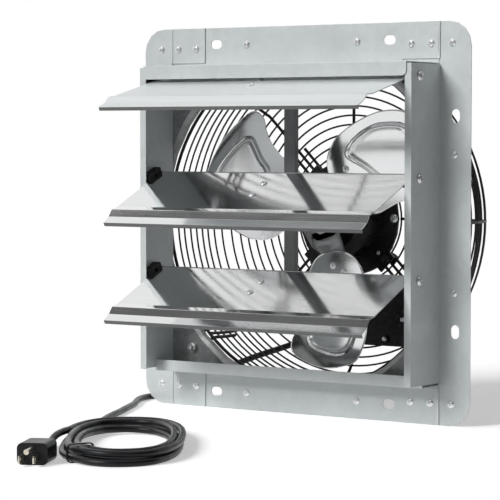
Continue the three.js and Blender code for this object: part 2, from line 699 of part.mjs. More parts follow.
// A closed sheet over a grid of surface points, with its front and back skins
function sheetOver(rows, columns, pointAt, thickness) {
  const positions = [];
  const faces = [];
  [-thickness / 2, thickness / 2].forEach((offset) => {
    for (let row = 0; row <= rows; row += 1) {
      for (let column = 0; column <= columns; column += 1) {
        const [x, y, z] = pointAt(row / rows, column / columns);
        positions.push(x, y + offset, z);
      }
    }
  });
  const layer = (rows + 1) * (columns + 1);
  const at = (row, column, back) => row * (columns + 1) + column + (back ? layer : 0);
  const quad = (a, b, c, d) => faces.push(a, c, b, a, d, c);
  for (let row = 0; row < rows; row += 1) {
    for (let column = 0; column < columns; column += 1) {
      quad(at(row, column, false), at(row, column + 1, false), at(row + 1, column + 1, false),
        at(row + 1, column, false));
      quad(at(row, column, true), at(row + 1, column, true), at(row + 1, column + 1, true),
        at(row, column + 1, true));
    }
    quad(at(row, 0, true), at(row, 0, false), at(row + 1, 0, false), at(row + 1, 0, true));
    quad(at(row, columns, false), at(row, columns, true), at(row + 1, columns, true),
      at(row + 1, columns, false));
  }
  for (let column = 0; column < columns; column += 1) {
    quad(at(0, column, false), at(0, column, true), at(0, column + 1, true), at(0, column + 1, false));
    quad(at(rows, column, true), at(rows, column, false), at(rows, column + 1, false),
      at(rows, column + 1, true));
  }
  const geometry = new THREE.BufferGeometry();
  geometry.setAttribute('position', new THREE.Float32BufferAttribute(positions, 3));
  geometry.setIndex(faces);
  return solidOf(geometry);
}

const polar = (radius, angle, depth) => [radius * Math.cos(angle), depth, radius * Math.sin(angle)];

// Rows lie closer together at the blade's round root and tip
function blade(reference) {
  return sheetOver(bladeRows, bladeColumns, (rowShare, columnShare) => {
    const eased = (1 - Math.cos(Math.PI * rowShare)) / 2;
    const radius = THREE.MathUtils.lerp(rootRadius, tipRadius, eased);
    const ends = [leadingEdgeShares, trailingEdgeShares].map((table) => edgeAngle(table, radius));
    const angle = THREE.MathUtils.lerp(...ends, columnShare);
    return polar(radius, reference + angle, pitchDepth(radius, angle));
  }, bladeSheet);
}

function spiderArm(reference) {
  const start = spiderDiscRadius / 2;
  return sheetOver(armRows, armColumns, (rowShare, columnShare) => {
    const along = THREE.MathUtils.lerp(start, armEndRadius, rowShare);
    const beyondNeck = (along - armNeckRadius) / (armEndRadius - armNeckRadius);
    const half = THREE.MathUtils.lerp(armWaist, armTip, THREE.MathUtils.clamp(beyondNeck, 0, 1));
    const across = THREE.MathUtils.lerp(-half, half, columnShare);
    const radius = Math.hypot(along, across);
    const angle = Math.atan2(across, along) + radians(armAngle);
    const twist = THREE.MathUtils.smoothstep(along, spiderDiscRadius, rootRadius);
    const depth = THREE.MathUtils.lerp(hubPlane, pitchDepth(radius, angle), twist);
    const seat = (bladeSheet + armSheet) / 2 / Math.cos(radians(bladeRootAngle)) + seatGap;
    return polar(radius, reference + angle, depth - seat);
  }, armSheet);
}

const bladeAngles = Array.from({ length: bladeCount }, (_, index) =>
  radians(bladeStartAngle - index * 360 / bladeCount));
bladeAngles.forEach((angle, index) => add(`fan_blade_${index + 1}`, blade(angle), polished));

const spiderDepth = hubPlane - (bladeSheet + armSheet) / 2 / Math.cos(radians(bladeRootAngle)) - seatGap;
const spiderDisc = rodY(spiderDiscRadius, 0, 0, spiderDepth - armSheet / 2, spiderDepth + armSheet / 2,
  circleSteps * 2);
const hubBore = hubRadius + seatGap;
add('fan_spider', cut(join([spiderDisc, ...bladeAngles.map(spiderArm)]),
  [rodY(hubBore, 0, 0, 0, hubPlane * 2)]), zincSteel);

// Hub: a barrel through the spider, with a collar before it and a groove behind for the wheel's seat
const hubBack = hubPlane + hubBackLength;
const collarRadius = hubRadius + armSheet * 2;
const collarBack = spiderDepth - armSheet / 2 - seatGap;
add('fan_hub', cut(join([
  rodY(hubRadius, 0, 0, hubBack - hubLength, hubBack),
  rodY(collarRadius, 0, 0, collarBack - armSheet, collarBack),
]), [rodY(shaftRadius + shaftClearance, 0, 0, 0, hubBack + cutOverrun)]), zincSteel);

// Motor: a round body with end vents, a shaft, a cross-armed bracket and a rear cover

const shaftBack = motorFront + motorShoulder;
add('motor_shaft', rodY(shaftRadius, 0, 0, shaftTip, shaftBack), zincSteel);

function motorBody() {
  const body = turned([[0, motorFront - motorNoseLength], [motorNoseRadius, motorFront - motorNoseLength],
    [motorNoseRadius, motorFront], [motorEndRadius, motorFront + motorFaceDish],
    [motorRadius - motorEdge, motorFront + motorShoulder],
    [motorRadius, motorFront + motorShoulder + motorEdge],
    [motorRadius, motorBack], [0, motorBack]], finCount);
  const vents = Array.from({ length: finCount }, (_, index) => {
    const angle = 2 * Math.PI * index / finCount;
    const vent = new THREE.BoxGeometry(ventDepth * 2, ventLength, ventWidth);
    vent.translate(motorRadius, (motorBack + motorFront + motorShoulder) / 2, 0).rotateY(angle);
    return solidOf(vent);
  });
  const shaftHole = rodY(shaftRadius + shaftClearance, 0, 0, 0, shaftBack + shaftClearance);
  return cut(body, [...vents, shaftHole]);
}

add('motor_body', motorBody(), blackPaint);

const bracketFront = motorBack + seatGap;
const bracketBack = bracketFront + bracketSheetThickness;
const diagonals = [45, 135, 225, 315].map(radians);

function turnedPlace(angle, along, across) {
  const [cosine, sine] = [Math.cos(angle), Math.sin(angle)];
  return [along * cosine - across * sine, along * sine + across * cosine];
}

function turnedBox(angle, alongs, acrosses, depths) {
  const size = [alongs, depths, acrosses].map(([low, high]) => high - low);
  const middle = [alongs, depths, acrosses].map(([low, high]) => (high + low) / 2);
  const geometry = new THREE.BoxGeometry(...size).translate(...middle).rotateY(-angle);
  return solidOf(geometry);
}

const bracketBoltPlaces = diagonals.map((angle) => turnedPlace(angle, bracketBoltSpread, bracketBoltOffset));
const bracketDisc = rodY(bracketDiscRadius, 0, 0, bracketFront, bracketBack, circleSteps * 2);
const bracketArms = diagonals.map((angle) => turnedBox(angle, [0, bracketArmEnd],
  [-bracketArmWidth / 2, bracketArmWidth / 2], [bracketFront, bracketBack]));
const bracketHoles = bracketBoltPlaces.map(([x, z]) =>
  rodY(bracketBoltRadius + seatGap, x, z, 0, bracketBack + cutOverrun, smallSteps));
const coverHole = rodY(rearCoverRadius + seatGap, 0, 0, bracketFront - cutOverrun, bracketBack + cutOverrun,
  circleSteps * 2);
add('motor_bracket', cut(join([bracketDisc, ...bracketArms]), [...bracketHoles, coverHole]), blackPaint);

const coverFront = motorBack + seatGap;
add('motor_rear_cover', turned([[0, coverFront], [rearCoverRadius, coverFront],
  [rearCoverRadius, coverFront + rearCoverDepth * 2 / 3],
  [rearCoverRadius * 3 / 4, coverFront + rearCoverDepth],
  [0, coverFront + rearCoverDepth]], ringSegments), blackPaint);

// Guard bolts and bracket bolts: hexagon head, shank and nut

const hexSides = 6;

function bolt([x, z], radius, tip, nutAt, headAt, washer) {
  const headBack = headAt + nutHeight;
  const pieces = [
    rodY(radius, x, z, tip, headBack),
    rodY(nutRadius, x, z, headAt, headBack, hexSides),
    rodY(nutRadius, x, z, nutAt, nutAt + nutHeight, hexSides),
  ];
  return join(washer ? [...pieces, rodY(washer, x, z, headAt - washerHeight, headAt + seatGap)] : pieces);
}

const rimWire = plateBack + seatGap + rimWireRadius;
const guardHead = rimWire + rimWireRadius + seatGap + washerHeight;
boltPlaces.forEach((place, index) => add(`guard_bolt_${index + 1}`,
  bolt(place, guardBoltRadius, -guardBoltTip, plateFront - seatGap - nutHeight, guardHead, washerRadius),
  zincSteel));

const ribHalf = ribWidth / 2;
const bracketNutAt = bracketFront - seatGap - nutHeight;
const bracketHeadAt = guardBackDepth + ribHalf + seatGap + washerHeight;
bracketBoltPlaces.forEach((place, index) => add(`bracket_bolt_${index + 1}`,
  bolt(place, bracketBoltRadius, bracketNutAt - nutHeight, bracketNutAt, bracketHeadAt, bracketWasherRadius),
  zincSteel));

// Wire guard: turned rings on bent ribs, rails for the motor bracket and a bolt loop on each diagonal

function wireRing([radius, depth], wireRadius, sides) {
  const reach = wireRadius * Math.sqrt(2 * Math.PI / sides / Math.sin(2 * Math.PI / sides));
  const section = Array.from({ length: sides + 1 }, (_, side) => {
    const angle = 2 * Math.PI * (side + 1 / 2) / sides;
    return [radius + reach * Math.cos(angle), depth + reach * Math.sin(angle)];
  });
  return turned(section, ringSegments);
}

const fromOrifice = ([inset, depth]) => [orificeRadius - inset, depth];
const rimRing = fromOrifice(rimInset);
const sideRings = sideInsets.map(fromOrifice);
const backRings = Array.from({ length: lastBackRing - firstBackRing + 1 }, (_, index) =>
  [(firstBackRing + index) * backRingPitch, guardBackDepth]);
const ribLine = [rimRing, sideRings[3], sideRings[6], sideRings[7], fromOrifice(ribShoulderInset),
  fromOrifice([ribCornerInset, guardBackDepth])];

function rib(angle) {
  const outline = stripOutline([...ribLine, [0, guardBackDepth]], ribWidth);
  const geometry = new THREE.ExtrudeGeometry(polygon(outline), { depth: ribWidth, bevelEnabled: false });
  geometry.translate(0, 0, -ribHalf).rotateY(-angle);
  return solidOf(geometry);
}

function boltLoop(angle) {
  const rise = rimRing[1];
  const leg = (side) => [[rimRing[0], rise, side * lugRadius],
    [(rimRing[0] + lugDistance) / 2, rimWire, side * lugRadius]];
  const bow = Array.from({ length: lugSteps + 1 }, (_, step) => {
    const turn = Math.PI * (step / lugSteps - 1 / 2);
    return [lugDistance + lugRadius * Math.cos(turn), rimWire, lugRadius * Math.sin(turn)];
  });
  const points = [...leg(-1), ...bow, ...leg(1).reverse()].map((point) => new THREE.Vector3(...point));
  const path = new THREE.CatmullRomCurve3(points, false, 'centripetal');
  const geometry = new THREE.ExtrudeGeometry(polygon(circlePoints(rimWireRadius, wireSides)),
    { steps: lugSteps * 2, extrudePath: path });
  return solidOf(geometry.rotateY(-angle));
}

function guard() {
  const rings = [wireRing(rimRing, rimWireRadius, rimWireSides), ...[...sideRings, ...backRings].map((ring) =>
    wireRing(ring, ringWireRadius, wireSides))];
  const ribs = Array.from({ length: ribCount }, (_, index) => rib(2 * Math.PI * index / ribCount));
  const rails = diagonals.flatMap((angle) => [1, -1].map((side) => turnedBox(angle,
    [0, ribRailEnd],
    [side * ribRailOffset - ribHalf, side * ribRailOffset + ribHalf],
    [guardBackDepth - ribHalf, guardBackDepth + ribHalf])));
  const loops = diagonals.map(boltLoop);
  const opening = rodY(backRings[0][0], 0, 0, 0, guardBackDepth * 2, ringSegments);
  return join([cut(join([...ribs, ...rails]), [opening]), ...rings, ...loops]);
}

add('wire_guard', guard(), blackPaint);

// Wiring box behind the guard, clamped through the wires by a plate and two screws

const wiringBoxFront = guardBackDepth + ribHalf + seatGap;
const wiringBoxBack = wiringBoxFront + wiringBoxDepth;
const clampBack = guardBackDepth - ribHalf - seatGap;
const clampFront = clampBack - clampSheet;
const clampScrewPlaces = clampScrewSpots.map(([x, z]) => [wiringBoxRight + x, wiringBoxBottom + z]);
const ear = (front, back) => rodY(clampEarRadius, ...clampScrewPlaces[0], front, back);
const wiringBoxBody = slab(roundedRectangle(wiringBoxLeft, wiringBoxRight, wiringBoxBottom, wiringBoxTop,
  wiringBoxCorner), wiringBoxFront, wiringBoxBack);
const clampHoleEnds = [clampFront - cutOverrun, wiringBoxFront + wiringBoxDepth / 2];
const clampHoles = clampScrewPlaces.map(([x, z]) =>
  rodY(clampScrewRadius + seatGap, x, z, ...clampHoleEnds, smallSteps));
const boxEar = ear(wiringBoxFront, wiringBoxFront + wiringBoxWall * 2);
add('wiring_box', cut(wiringBoxBody.add(boxEar), clampHoles), blackPlastic);
const clampPlate = slab(roundedRectangle(wiringBoxLeft, clampRight, wiringBoxBottom, wiringBoxTop,
  wiringBoxCorner), clampFront, clampBack);
add('wiring_box_clamp', cut(clampPlate.add(ear(clampFront, clampBack)), clampHoles), blackPaint);
clampScrewPlaces.forEach(([x, z], index) => {
  const headBack = clampFront - seatGap;
  const flare = index === 0 ? clampWasherRadius : clampScrewHeadRadius;
  add(`clamp_screw_${index + 1}`, join([
    rodY(clampScrewRadius, x, z, headBack - screwHeadHeight, wiringBoxFront + wiringBoxDepth / 3),
    rodY(clampScrewHeadRadius, x, z, headBack - screwHeadHeight, headBack),
    rodY(flare, x, z, headBack - washerHeight, headBack),
  ]), zincSteel);
});

// Gland: a tapered strain relief out of the wiring box's left side

const glandAxisDepth = wiringBoxFront + glandDepth;
const glandRoot = wiringBoxLeft - seatGap;
const glandTip = glandRoot - glandLength;
const glandShape = new THREE.LatheGeometry([[0, 0], [glandRootRadius, 0], [glandRootRadius, glandLength / 5],
  [glandTipRadius, glandLength], [0, glandLength]].map(([radius, reach]) => new THREE.Vector2(radius, reach)),
circleSteps);
add('cord_gland', solidOf(glandShape.rotateZ(Math.PI / 2).translate(glandRoot, glandAxisDepth, glandHeight)),
  cordRubber);

// Mains lead from the gland to the coil, and from the coil to the plug

function tube(points, radius, sides, steps) {
  const knots = points.map((point) => new THREE.Vector3(...point));
  const curve = new THREE.CatmullRomCurve3(knots, false, 'centripetal');
  const section = polygon(circlePoints(radius, sides));
  return new THREE.ExtrudeGeometry(section, { steps, extrudePath: curve, bevelEnabled: false });
}

const cordRest = floorHeight + cordRadius;

// A place on the floor from its distances across and along the coil, with a cord's axis at rest there
function onFloor(across, along, rise) {
  const turn = radians(coilTurn);
  return new THREE.Vector3(
    coilCentre[0] + across * Math.cos(turn) - along * Math.sin(turn),
    coilCentre[1] + across * Math.sin(turn) + along * Math.cos(turn),
    cordRest + rise,
  );
}

// Coil: superellipse loops that spiral in on the floor, climb and spiral out on top
function coilPoint(turns) {
  const reverse = coilLoops / 2;
  const inset = coilPitch * (reverse - Math.abs(turns - reverse));
  const climb = THREE.MathUtils.clamp((turns - reverse) * 2 + 0.5, 0, 1);
  const angle = radians(coilStart) + 2 * Math.PI * turns;
  const round = (value) => Math.sign(value) * Math.abs(value) ** (2 / coilSquareness);
  const across = (coilHalfWidth - inset) * round(Math.cos(angle));
  const along = (coilHalfLength - coilLengthwisePitch * inset) * round(Math.sin(angle));
  const pastTie = THREE.MathUtils.euclideanModulo(THREE.MathUtils.radToDeg(angle) - tieAngle + 180, 360);
  const liftShare = Math.min(1, Math.abs(pastTie - 180) / tieLiftSpread);
  const lift = (tieThickness + seatGap) * Math.cos(radians(90 * liftShare));
  return onFloor(across, along, climb * coilLayer + lift);
}

const coilTurns = coilLoops + coilEndTurn;

function arcSpacedCoil(count) {
  const dense = Array.from({ length: coilFineSteps + 1 }, (_, index) =>
    coilPoint(coilTurns * index / coilFineSteps));
  const lengths = [0];
  for (let index = 1; index <= coilFineSteps; index += 1) {
    lengths.push(lengths[index - 1] + dense[index].distanceTo(dense[index - 1]));
  }
  const total = lengths[coilFineSteps];
  const points = [];
  let cursor = 0;
  for (let index = 0; index <= count; index += 1) {
    const target = total * index / count;
    while (cursor < coilFineSteps && lengths[cursor] < target) cursor += 1;
    points.push(dense[cursor]);
  }
  return { points, total };
}

const coil = arcSpacedCoil(Math.round(coilTurns * coilSteps));

function leastGap(points, diameter) {
  let least = Infinity;
  const skip = Math.ceil(coilSteps / 4);
  for (let first = 0; first < points.length; first += 1) {
    for (let second = first + skip; second < points.length - 1; second += 1) {
      const segment = new THREE.Line3(points[second], points[second + 1]);
      const near = segment.closestPointToPoint(points[first], true, new THREE.Vector3());
      least = Math.min(least, near.distanceTo(points[first]) - diameter);
    }
  }
  return least;
}

function woundTube(points, radius, sides) {
  const positions = [];
  const faces = [];
  points.forEach((point, index) => {
    const before = points[Math.max(index - 1, 0)];
    const after = points[Math.min(index + 1, points.length - 1)];
    const way = new THREE.Vector3().subVectors(after, before).normalize();
    const side = new THREE.Vector3().crossVectors(way, unitZ).normalize();
    const up = new THREE.Vector3().crossVectors(side, way);
    for (let step = 0; step < sides; step += 1) {
      const angle = 2 * Math.PI * (step + 1 / 2) / sides;
      positions.push(...point.clone().addScaledVector(side, radius * Math.cos(angle))
        .addScaledVector(up, radius * Math.sin(angle)).toArray());
    }
  });
  for (let ring = 0; ring < points.length - 1; ring += 1) {
    for (let step = 0; step < sides; step += 1) {
      const [a, b] = [ring * sides + step, ring * sides + (step + 1) % sides];
      faces.push(a, a + sides, b + sides, a, b + sides, b);
    }
  }
  const last = (points.length - 1) * sides;
  for (let step = 1; step < sides - 1; step += 1) {
    faces.push(0, step, step + 1, last, last + step + 1, last + step);
  }
  const geometry = new THREE.BufferGeometry();
  geometry.setAttribute('position', new THREE.Float32BufferAttribute(positions, 3));
  geometry.setIndex(faces);
  return geometry;
}

console.log(`coil: ${(coil.total / 1000).toFixed(3)} m of lead, least gap to itself `
  + `${leastGap(coil.points, 2 * cordRadius).toFixed(2)} mm`);
add('cord_coil', woundTube(coil.points, cordRadius, coilSides), cordRubber);

const coilIn = coil.points[0];
const coilInWay = new THREE.Vector3().subVectors(coil.points[1], coil.points[0]).normalize();
const leadEnd = coilIn.clone().addScaledVector(coilInWay, -seatGap);
const leadBefore = leadEnd.clone().addScaledVector(coilInWay, -cordRadius * 3);

const leadRoute = [
  [glandTip - seatGap, glandAxisDepth, glandHeight],
  [glandTip - leadStraight, glandAxisDepth, glandHeight - leadDroop],
  ...leadPlaces.map(([x, y, rise]) => [x, y, cordRest + rise]),
  leadBefore.toArray(),
  leadEnd.toArray(),
];
add('power_cord', tube(leadRoute, cordRadius, cordSides, leadSteps), cordRubber);

// Plug: its axis runs from the coil's end towards the front left

const plugStart = new THREE.Vector3(...plugPlace, cordRest);
const plugWay = new THREE.Vector3(...plugWayShares, 0).normalize();
const plugSide = new THREE.Vector3().crossVectors(unitZ, plugWay);
const plugAt = (along, across, rise) => plugStart.clone().addScaledVector(plugWay, along)
  .addScaledVector(plugSide, across).addScaledVector(unitZ, rise);

const [beforeCoilOut, coilOut] = coil.points.slice(-2);
const coilOutWay = new THREE.Vector3().subVectors(coilOut, beforeCoilOut).normalize();
const tailStart = coilOut.clone().addScaledVector(coilOutWay, seatGap);
const tailRoute = [
  tailStart.toArray(),
  tailStart.clone().addScaledVector(coilOutWay, cordRadius * 2).toArray(),
  ...tailPlaces.map((spot) => onFloor(...spot).toArray()),
  plugAt(-cordRadius * 3, 0, 0).toArray(),
  plugAt(-seatGap, 0, 0).toArray(),
];
add('plug_lead', tube(tailRoute, cordRadius, cordSides, tailSteps), cordRubber);

function plugShape(shape, depth, origin, axis, across) {
  const curveSegments = plugArcSteps;
  const geometry = new THREE.ExtrudeGeometry(shape, { depth, bevelEnabled: false, curveSegments });
  return solidOf(place(geometry, across, new THREE.Vector3().crossVectors(axis, across), origin));
}

function plugBody() {
  const lift = plugHeight / 2 - cordRadius;
  const relief = [[0, 0], [reliefCore, 0]];
  for (let ring = 0; ring < reliefRibs; ring += 1) {
    const at = reliefLength * (ring + 1 / 2) / reliefRibs;
    const width = reliefLength / reliefRibs / 3;
    relief.push([reliefCore, at - width / 2], [reliefRadius, at], [reliefCore, at + width]);
  }
  relief.push([reliefCore, reliefLength + plugShoulder], [0, reliefLength + plugShoulder]);
  const reliefLine = relief.map(([radius, reach]) => new THREE.Vector2(radius, reach));
  const reliefTurn = new THREE.Quaternion().setFromUnitVectors(unitY, plugWay);
  const reliefGeometry = new THREE.LatheGeometry(reliefLine, circleSteps).applyQuaternion(reliefTurn);
  const collar = plugAt(0, 0, reliefRadius - cordRadius);
  const reliefSolid = solidOf(reliefGeometry.translate(collar.x, collar.y, collar.z));
  const [halfWidth, halfHeight] = [plugWidth / 2, plugHeight / 2];
  const section = roundedRectangle(-halfWidth, halfWidth, -halfHeight, halfHeight, plugHeight / 4);
  const head = plugShape(section, plugLength, plugAt(reliefLength, 0, lift), plugWay,
    plugSide.clone().negate());
  return reliefSolid.add(head);
}

add('plug_body', plugBody(), cordRubber);

const faceAt = reliefLength + plugLength + seatGap;
const pinLift = plugHeight / 2 - cordRadius;
const groundLift = pinLift + groundPinRise - bladePinSpread / 2;

function flatPin(side) {
  const half = bladePinWidth / 2;
  const outline = roundedRectangle(-half, half, 0, bladePinLength, bladePinWidth / 5);
  const hole = new THREE.Path();
  hole.absarc(0, bladePinLength * 3 / 4, bladePinHoleRadius, 0, 2 * Math.PI, true);
  outline.holes.push(hole);
  const geometry = new THREE.ExtrudeGeometry(outline, { depth: bladePinThickness, bevelEnabled: false,
    curveSegments: arcSteps });
  const origin = plugAt(faceAt, side * bladePinSpread, pinLift - bladePinSpread / 2)
    .addScaledVector(plugSide, -bladePinThickness / 2);
  return place(geometry, unitZ.clone().negate(), plugWay, origin);
}

add('plug_blade_left', flatPin(-1), brassMetal);
add('plug_blade_right', flatPin(1), brassMetal);
add('plug_ground_pin', rod(groundPinRadius, plugAt(faceAt, 0, groundLift),
  plugAt(faceAt + groundPinLength, 0, groundLift)), brassMetal);

// Twist tie round the coil's strands

function coilTie() {
  const turns = (THREE.MathUtils.euclideanModulo(tieAngle - coilStart, 360)) / 360;
  const strands = Array.from({ length: coilLoops }, (_, loop) => coilPoint(turns + loop));
  const way = new THREE.Vector3().subVectors(coilPoint(turns + 0.01), coilPoint(turns - 0.01)).normalize();
  const side = new THREE.Vector3().crossVectors(way, unitZ).normalize();
  const middle = strands.reduce((sum, strand) => sum.add(strand), new THREE.Vector3());
  middle.divideScalar(coilLoops);
  const offsets = strands.map((strand) => new THREE.Vector3().subVectors(strand, middle));
  const room = cordRadius + 3 * seatGap;
  const half = Math.max(...offsets.map((offset) => Math.abs(offset.dot(side)))) + room;
  const low = floorHeight + tieThickness - middle.z;
  const high = Math.max(...offsets.map((offset) => offset.z)) + room;
  const outer = roundedRectangle(-half - tieThickness, half + tieThickness, low - tieThickness,
    high + tieThickness, cordRadius + tieThickness);
  outer.holes.push(roundedRectangle(-half, half, low, high, cordRadius));
  const geometry = new THREE.ExtrudeGeometry(outer, { depth: tieWidth, bevelEnabled: false,
    curveSegments: tieArcSteps });
  return place(geometry, side, unitZ, middle);
}

add('coil_tie', coilTie(), blackPlastic);

export default fan;
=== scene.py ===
"""A shutter exhaust fan dressed for a photograph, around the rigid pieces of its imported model.

X runs to the right and Z up, seen from the louvers, and Y runs from the louvers to the guard.
Sizes are in millimetres where they are named, and in metres in the meshes.
"""

import math

import bmesh
import bpy
from mathutils import Matrix, Vector


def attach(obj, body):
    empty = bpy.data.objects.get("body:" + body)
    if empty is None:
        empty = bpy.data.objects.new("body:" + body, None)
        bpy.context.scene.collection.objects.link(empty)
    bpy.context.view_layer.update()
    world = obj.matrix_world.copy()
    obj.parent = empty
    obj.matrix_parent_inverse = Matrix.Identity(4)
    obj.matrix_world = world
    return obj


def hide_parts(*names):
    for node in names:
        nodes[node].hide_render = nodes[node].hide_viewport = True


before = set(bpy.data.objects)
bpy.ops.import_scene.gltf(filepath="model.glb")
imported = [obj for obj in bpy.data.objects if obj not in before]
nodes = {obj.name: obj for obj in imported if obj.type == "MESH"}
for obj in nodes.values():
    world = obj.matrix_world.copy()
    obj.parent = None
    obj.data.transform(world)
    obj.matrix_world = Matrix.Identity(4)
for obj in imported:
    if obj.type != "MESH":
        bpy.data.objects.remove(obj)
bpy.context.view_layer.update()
scene = bpy.context.scene
scene.view_settings.view_transform = "Standard"

MM = 0.001
FULL_TURN = 2 * math.pi

# Camera

camera = bpy.data.objects.new("camera", bpy.data.cameras.new("camera"))
camera.data.sensor_width = 36
camera.data.lens = 171.97
camera.data.clip_end = 100
camera.location = (1.325284, -1.992922, 0.085958)
camera.rotation_euler = (math.radians(87.23616), 0, math.radians(34.8407))
scene.collection.objects.link(camera)
scene.camera = camera

# Mains lead: its route from the gland to the coil, the coil's turns, and the short end at the plug

CORD_RADIUS = 3.25
FLOOR = -195
CORD_REST = FLOOR + CORD_RADIUS
GLAND_TIP = Vector((-14.3, 112.9, -115))
COIL_LOOPS = 4
COIL_PITCH = 7.4
COIL_LAYER = 7.1
COIL_HALF_WIDTH = 54.7
COIL_HALF_LENGTH = 128
COIL_SQUARENESS = 2.5
COIL_LENGTHWISE_PITCH = 2
COIL_START = 136
COIL_END_TURN = 0.06
COIL_STEPS = 24
COIL_FINE_STEPS = 4000
COIL_CLIMB_TURNS = 0.5
COIL_LEAD_IN = 10
COIL_LEAD_OUT = 6.8
COIL_CENTRE = (15, -308)
COIL_TURN = math.radians(34.84)
TIE_ANGLE = 232
TIE_LIFT = 1.3
TIE_LIFT_SPREAD = 30
PLUG_START = Vector((-10, -382, CORD_REST))
PLUG_WAY = Vector((0.44, -0.898, 0)).normalized()
CORD_CLEARANCE = 0.3


def lerp(low, high, share):
    return low + (high - low) * share


def clamp(value):
    return min(1, max(0, value))


def on_floor(across, along, rise):
    """A place on the floor, by its distances across and along the coil."""
    return Vector((
        COIL_CENTRE[0] + across * math.cos(COIL_TURN) - along * math.sin(COIL_TURN),
        COIL_CENTRE[1] + across * math.sin(COIL_TURN) + along * math.cos(COIL_TURN),
        CORD_REST + rise,
    ))


def coil_point(turns):
    """The lead's axis in the coil: it spirals in on the floor, climbs, and spirals out on top."""
    reverse = COIL_LOOPS / 2
    inset = COIL_PITCH * (reverse - abs(turns - reverse))
    climb = clamp((turns - reverse) / COIL_CLIMB_TURNS + 0.5)
    angle = math.radians(COIL_START) + FULL_TURN * turns
    bulge = 2 / COIL_SQUARENESS
    width = COIL_HALF_WIDTH - inset
    across = width * math.copysign(abs(math.cos(angle)) ** bulge, math.cos(angle))
    reach = COIL_HALF_LENGTH - COIL_LENGTHWISE_PITCH * inset
    along = reach * math.copysign(abs(math.sin(angle)) ** bulge, math.sin(angle))
    from_tie = abs((math.degrees(angle) - TIE_ANGLE + 180) % 360 - 180)
    lift = TIE_LIFT * math.cos(math.radians(90 * min(1, from_tie / TIE_LIFT_SPREAD)))
    return on_floor(across, along, climb * COIL_LAYER + lift)


def even_coil(count):
    """Coil points at even lengths along the lead."""
    turns = COIL_LOOPS + COIL_END_TURN
    dense = [coil_point(turns * index / COIL_FINE_STEPS) for index in range(COIL_FINE_STEPS + 1)]
    lengths = [0]
    for before, after in zip(dense, dense[1:]):
        lengths.append(lengths[-1] + (after - before).length)
    places, cursor = [], 0
    for index in range(count + 1):
        while cursor < COIL_FINE_STEPS and lengths[cursor] < lengths[-1] * index / count:
            cursor += 1
        places.append(dense[cursor])
    return places


def plug_at(along):
    """A place along the plug's middle line, from where the lead enters it."""
    return PLUG_START + PLUG_WAY * along


coil_places = even_coil(round((COIL_LOOPS + COIL_END_TURN) * COIL_STEPS))
coil_in = (coil_places[1] - coil_places[0]).normalized()
coil_out = (coil_places[-1] - coil_places[-2]).normalized()
lead_places = [
    GLAND_TIP - Vector((CORD_CLEARANCE, 0, 0)),
    (GLAND_TIP[0] - 13, GLAND_TIP[1], -116),
    (-46, 108.5, -121),
    (-66, 107.5, -130),
    (-88, 105.5, -138.5),
    (-110, 101.5, -146),
    (-131, 95, -154),
    (-151, 85, -163.5),
    (-170, 72, -174.5),
    (-187, 57, -184.5),
    (-200, 40, -190.8),
    (-206.5, 22, CORD_REST),
    (-203, 2, CORD_REST),
    (-192, -20, CORD_REST),
    (-177, -44, CORD_REST),
    (-162, -75, CORD_REST),
    (-147, -106, CORD_REST),
    (-132, -140, CORD_REST),
    (-114, -176, CORD_REST),
    coil_places[0] - coil_in * COIL_LEAD_IN,
    *coil_places,
    coil_places[-1] + coil_out * COIL_LEAD_OUT,
    on_floor(-57.5, 40, COIL_LAYER),
    on_floor(-63.5, 19, 5.4),
    on_floor(-66, -3, 1.5),
    on_floor(-65, -22, 0),
    plug_at(-10),
    plug_at(-CORD_CLEARANCE),
]

# Node trees


def put(tree, kind, settings=None, **inputs):
    """Adds a shader node. An input is a value or another node's socket, and _ stands for a space."""
    node = tree.nodes.new("ShaderNode" + kind)
    for key, value in (settings or {}).items():
        setattr(node, key, value)
    for key, value in inputs.items():
        name = key.replace("_", " ")
        socket = node.inputs[int(name[1:])] if name[1:].isdigit() else node.inputs[name]
        if isinstance(value, bpy.types.NodeSocket):
            tree.links.new(value, socket)
        else:
            socket.default_value = value
    return node


def effect(name, inputs, outputs):
    """A node group with float inputs, given with their usual values, and its two end nodes."""
    tree = bpy.data.node_groups.new(name, "ShaderNodeTree")
    for key, value in inputs.items():
        socket = tree.interface.new_socket(key, in_out="INPUT", socket_type="NodeSocketFloat")
        socket.default_value = value
    for key in outputs:
        tree.interface.new_socket(key, in_out="OUTPUT", socket_type="NodeSocketFloat")
    start = tree.nodes.new("NodeGroupInput")
    end = tree.nodes.new("NodeGroupOutput")
    return tree, start.outputs, end.inputs


def stretched_noise(tree, scale, stretch=(1, 1, 1), detail=4):
    """Noise on object coordinates, drawn out along X, Y or Z by its stretch."""
    where = put(tree, "TexCoord").outputs["Object"]
    drawn = put(tree, "Mapping", Vector=where, Scale=stretch).outputs["Vector"]
    return put(tree, "TexNoise", Vector=drawn, Scale=scale, Detail=detail).outputs["Fac"]


def ramped(tree, value, low, high):
    """A value spread from low and high to 0 and 1."""
    return put(tree, "MapRange", Value=value, From_Min=low, From_Max=high).outputs["Result"]


def grain_effect():
    """Fine lines along X from the rolling of a sheet, with broad dull patches."""
    tree, start, end = effect("rolled_grain", {"Lines": 0.5, "Patches": 0.5}, ("Grain", "Patch"))
    lines = stretched_noise(tree, scale=900, stretch=(0.02, 1, 1))
    patches = stretched_noise(tree, scale=26, stretch=(0.6, 1, 1), detail=6)
    half = {"operation": "SUBTRACT"}
    for key, value, share in (("Grain", lines, start["Lines"]), ("Patch", patches, start["Patches"])):
        centred = put(tree, "Math", half, _0=value, _1=0.5).outputs[0]
        scaled = put(tree, "Math", {"operation": "MULTIPLY"}, _0=centred, _1=share).outputs[0]
        tree.links.new(scaled, end[key])
    return tree


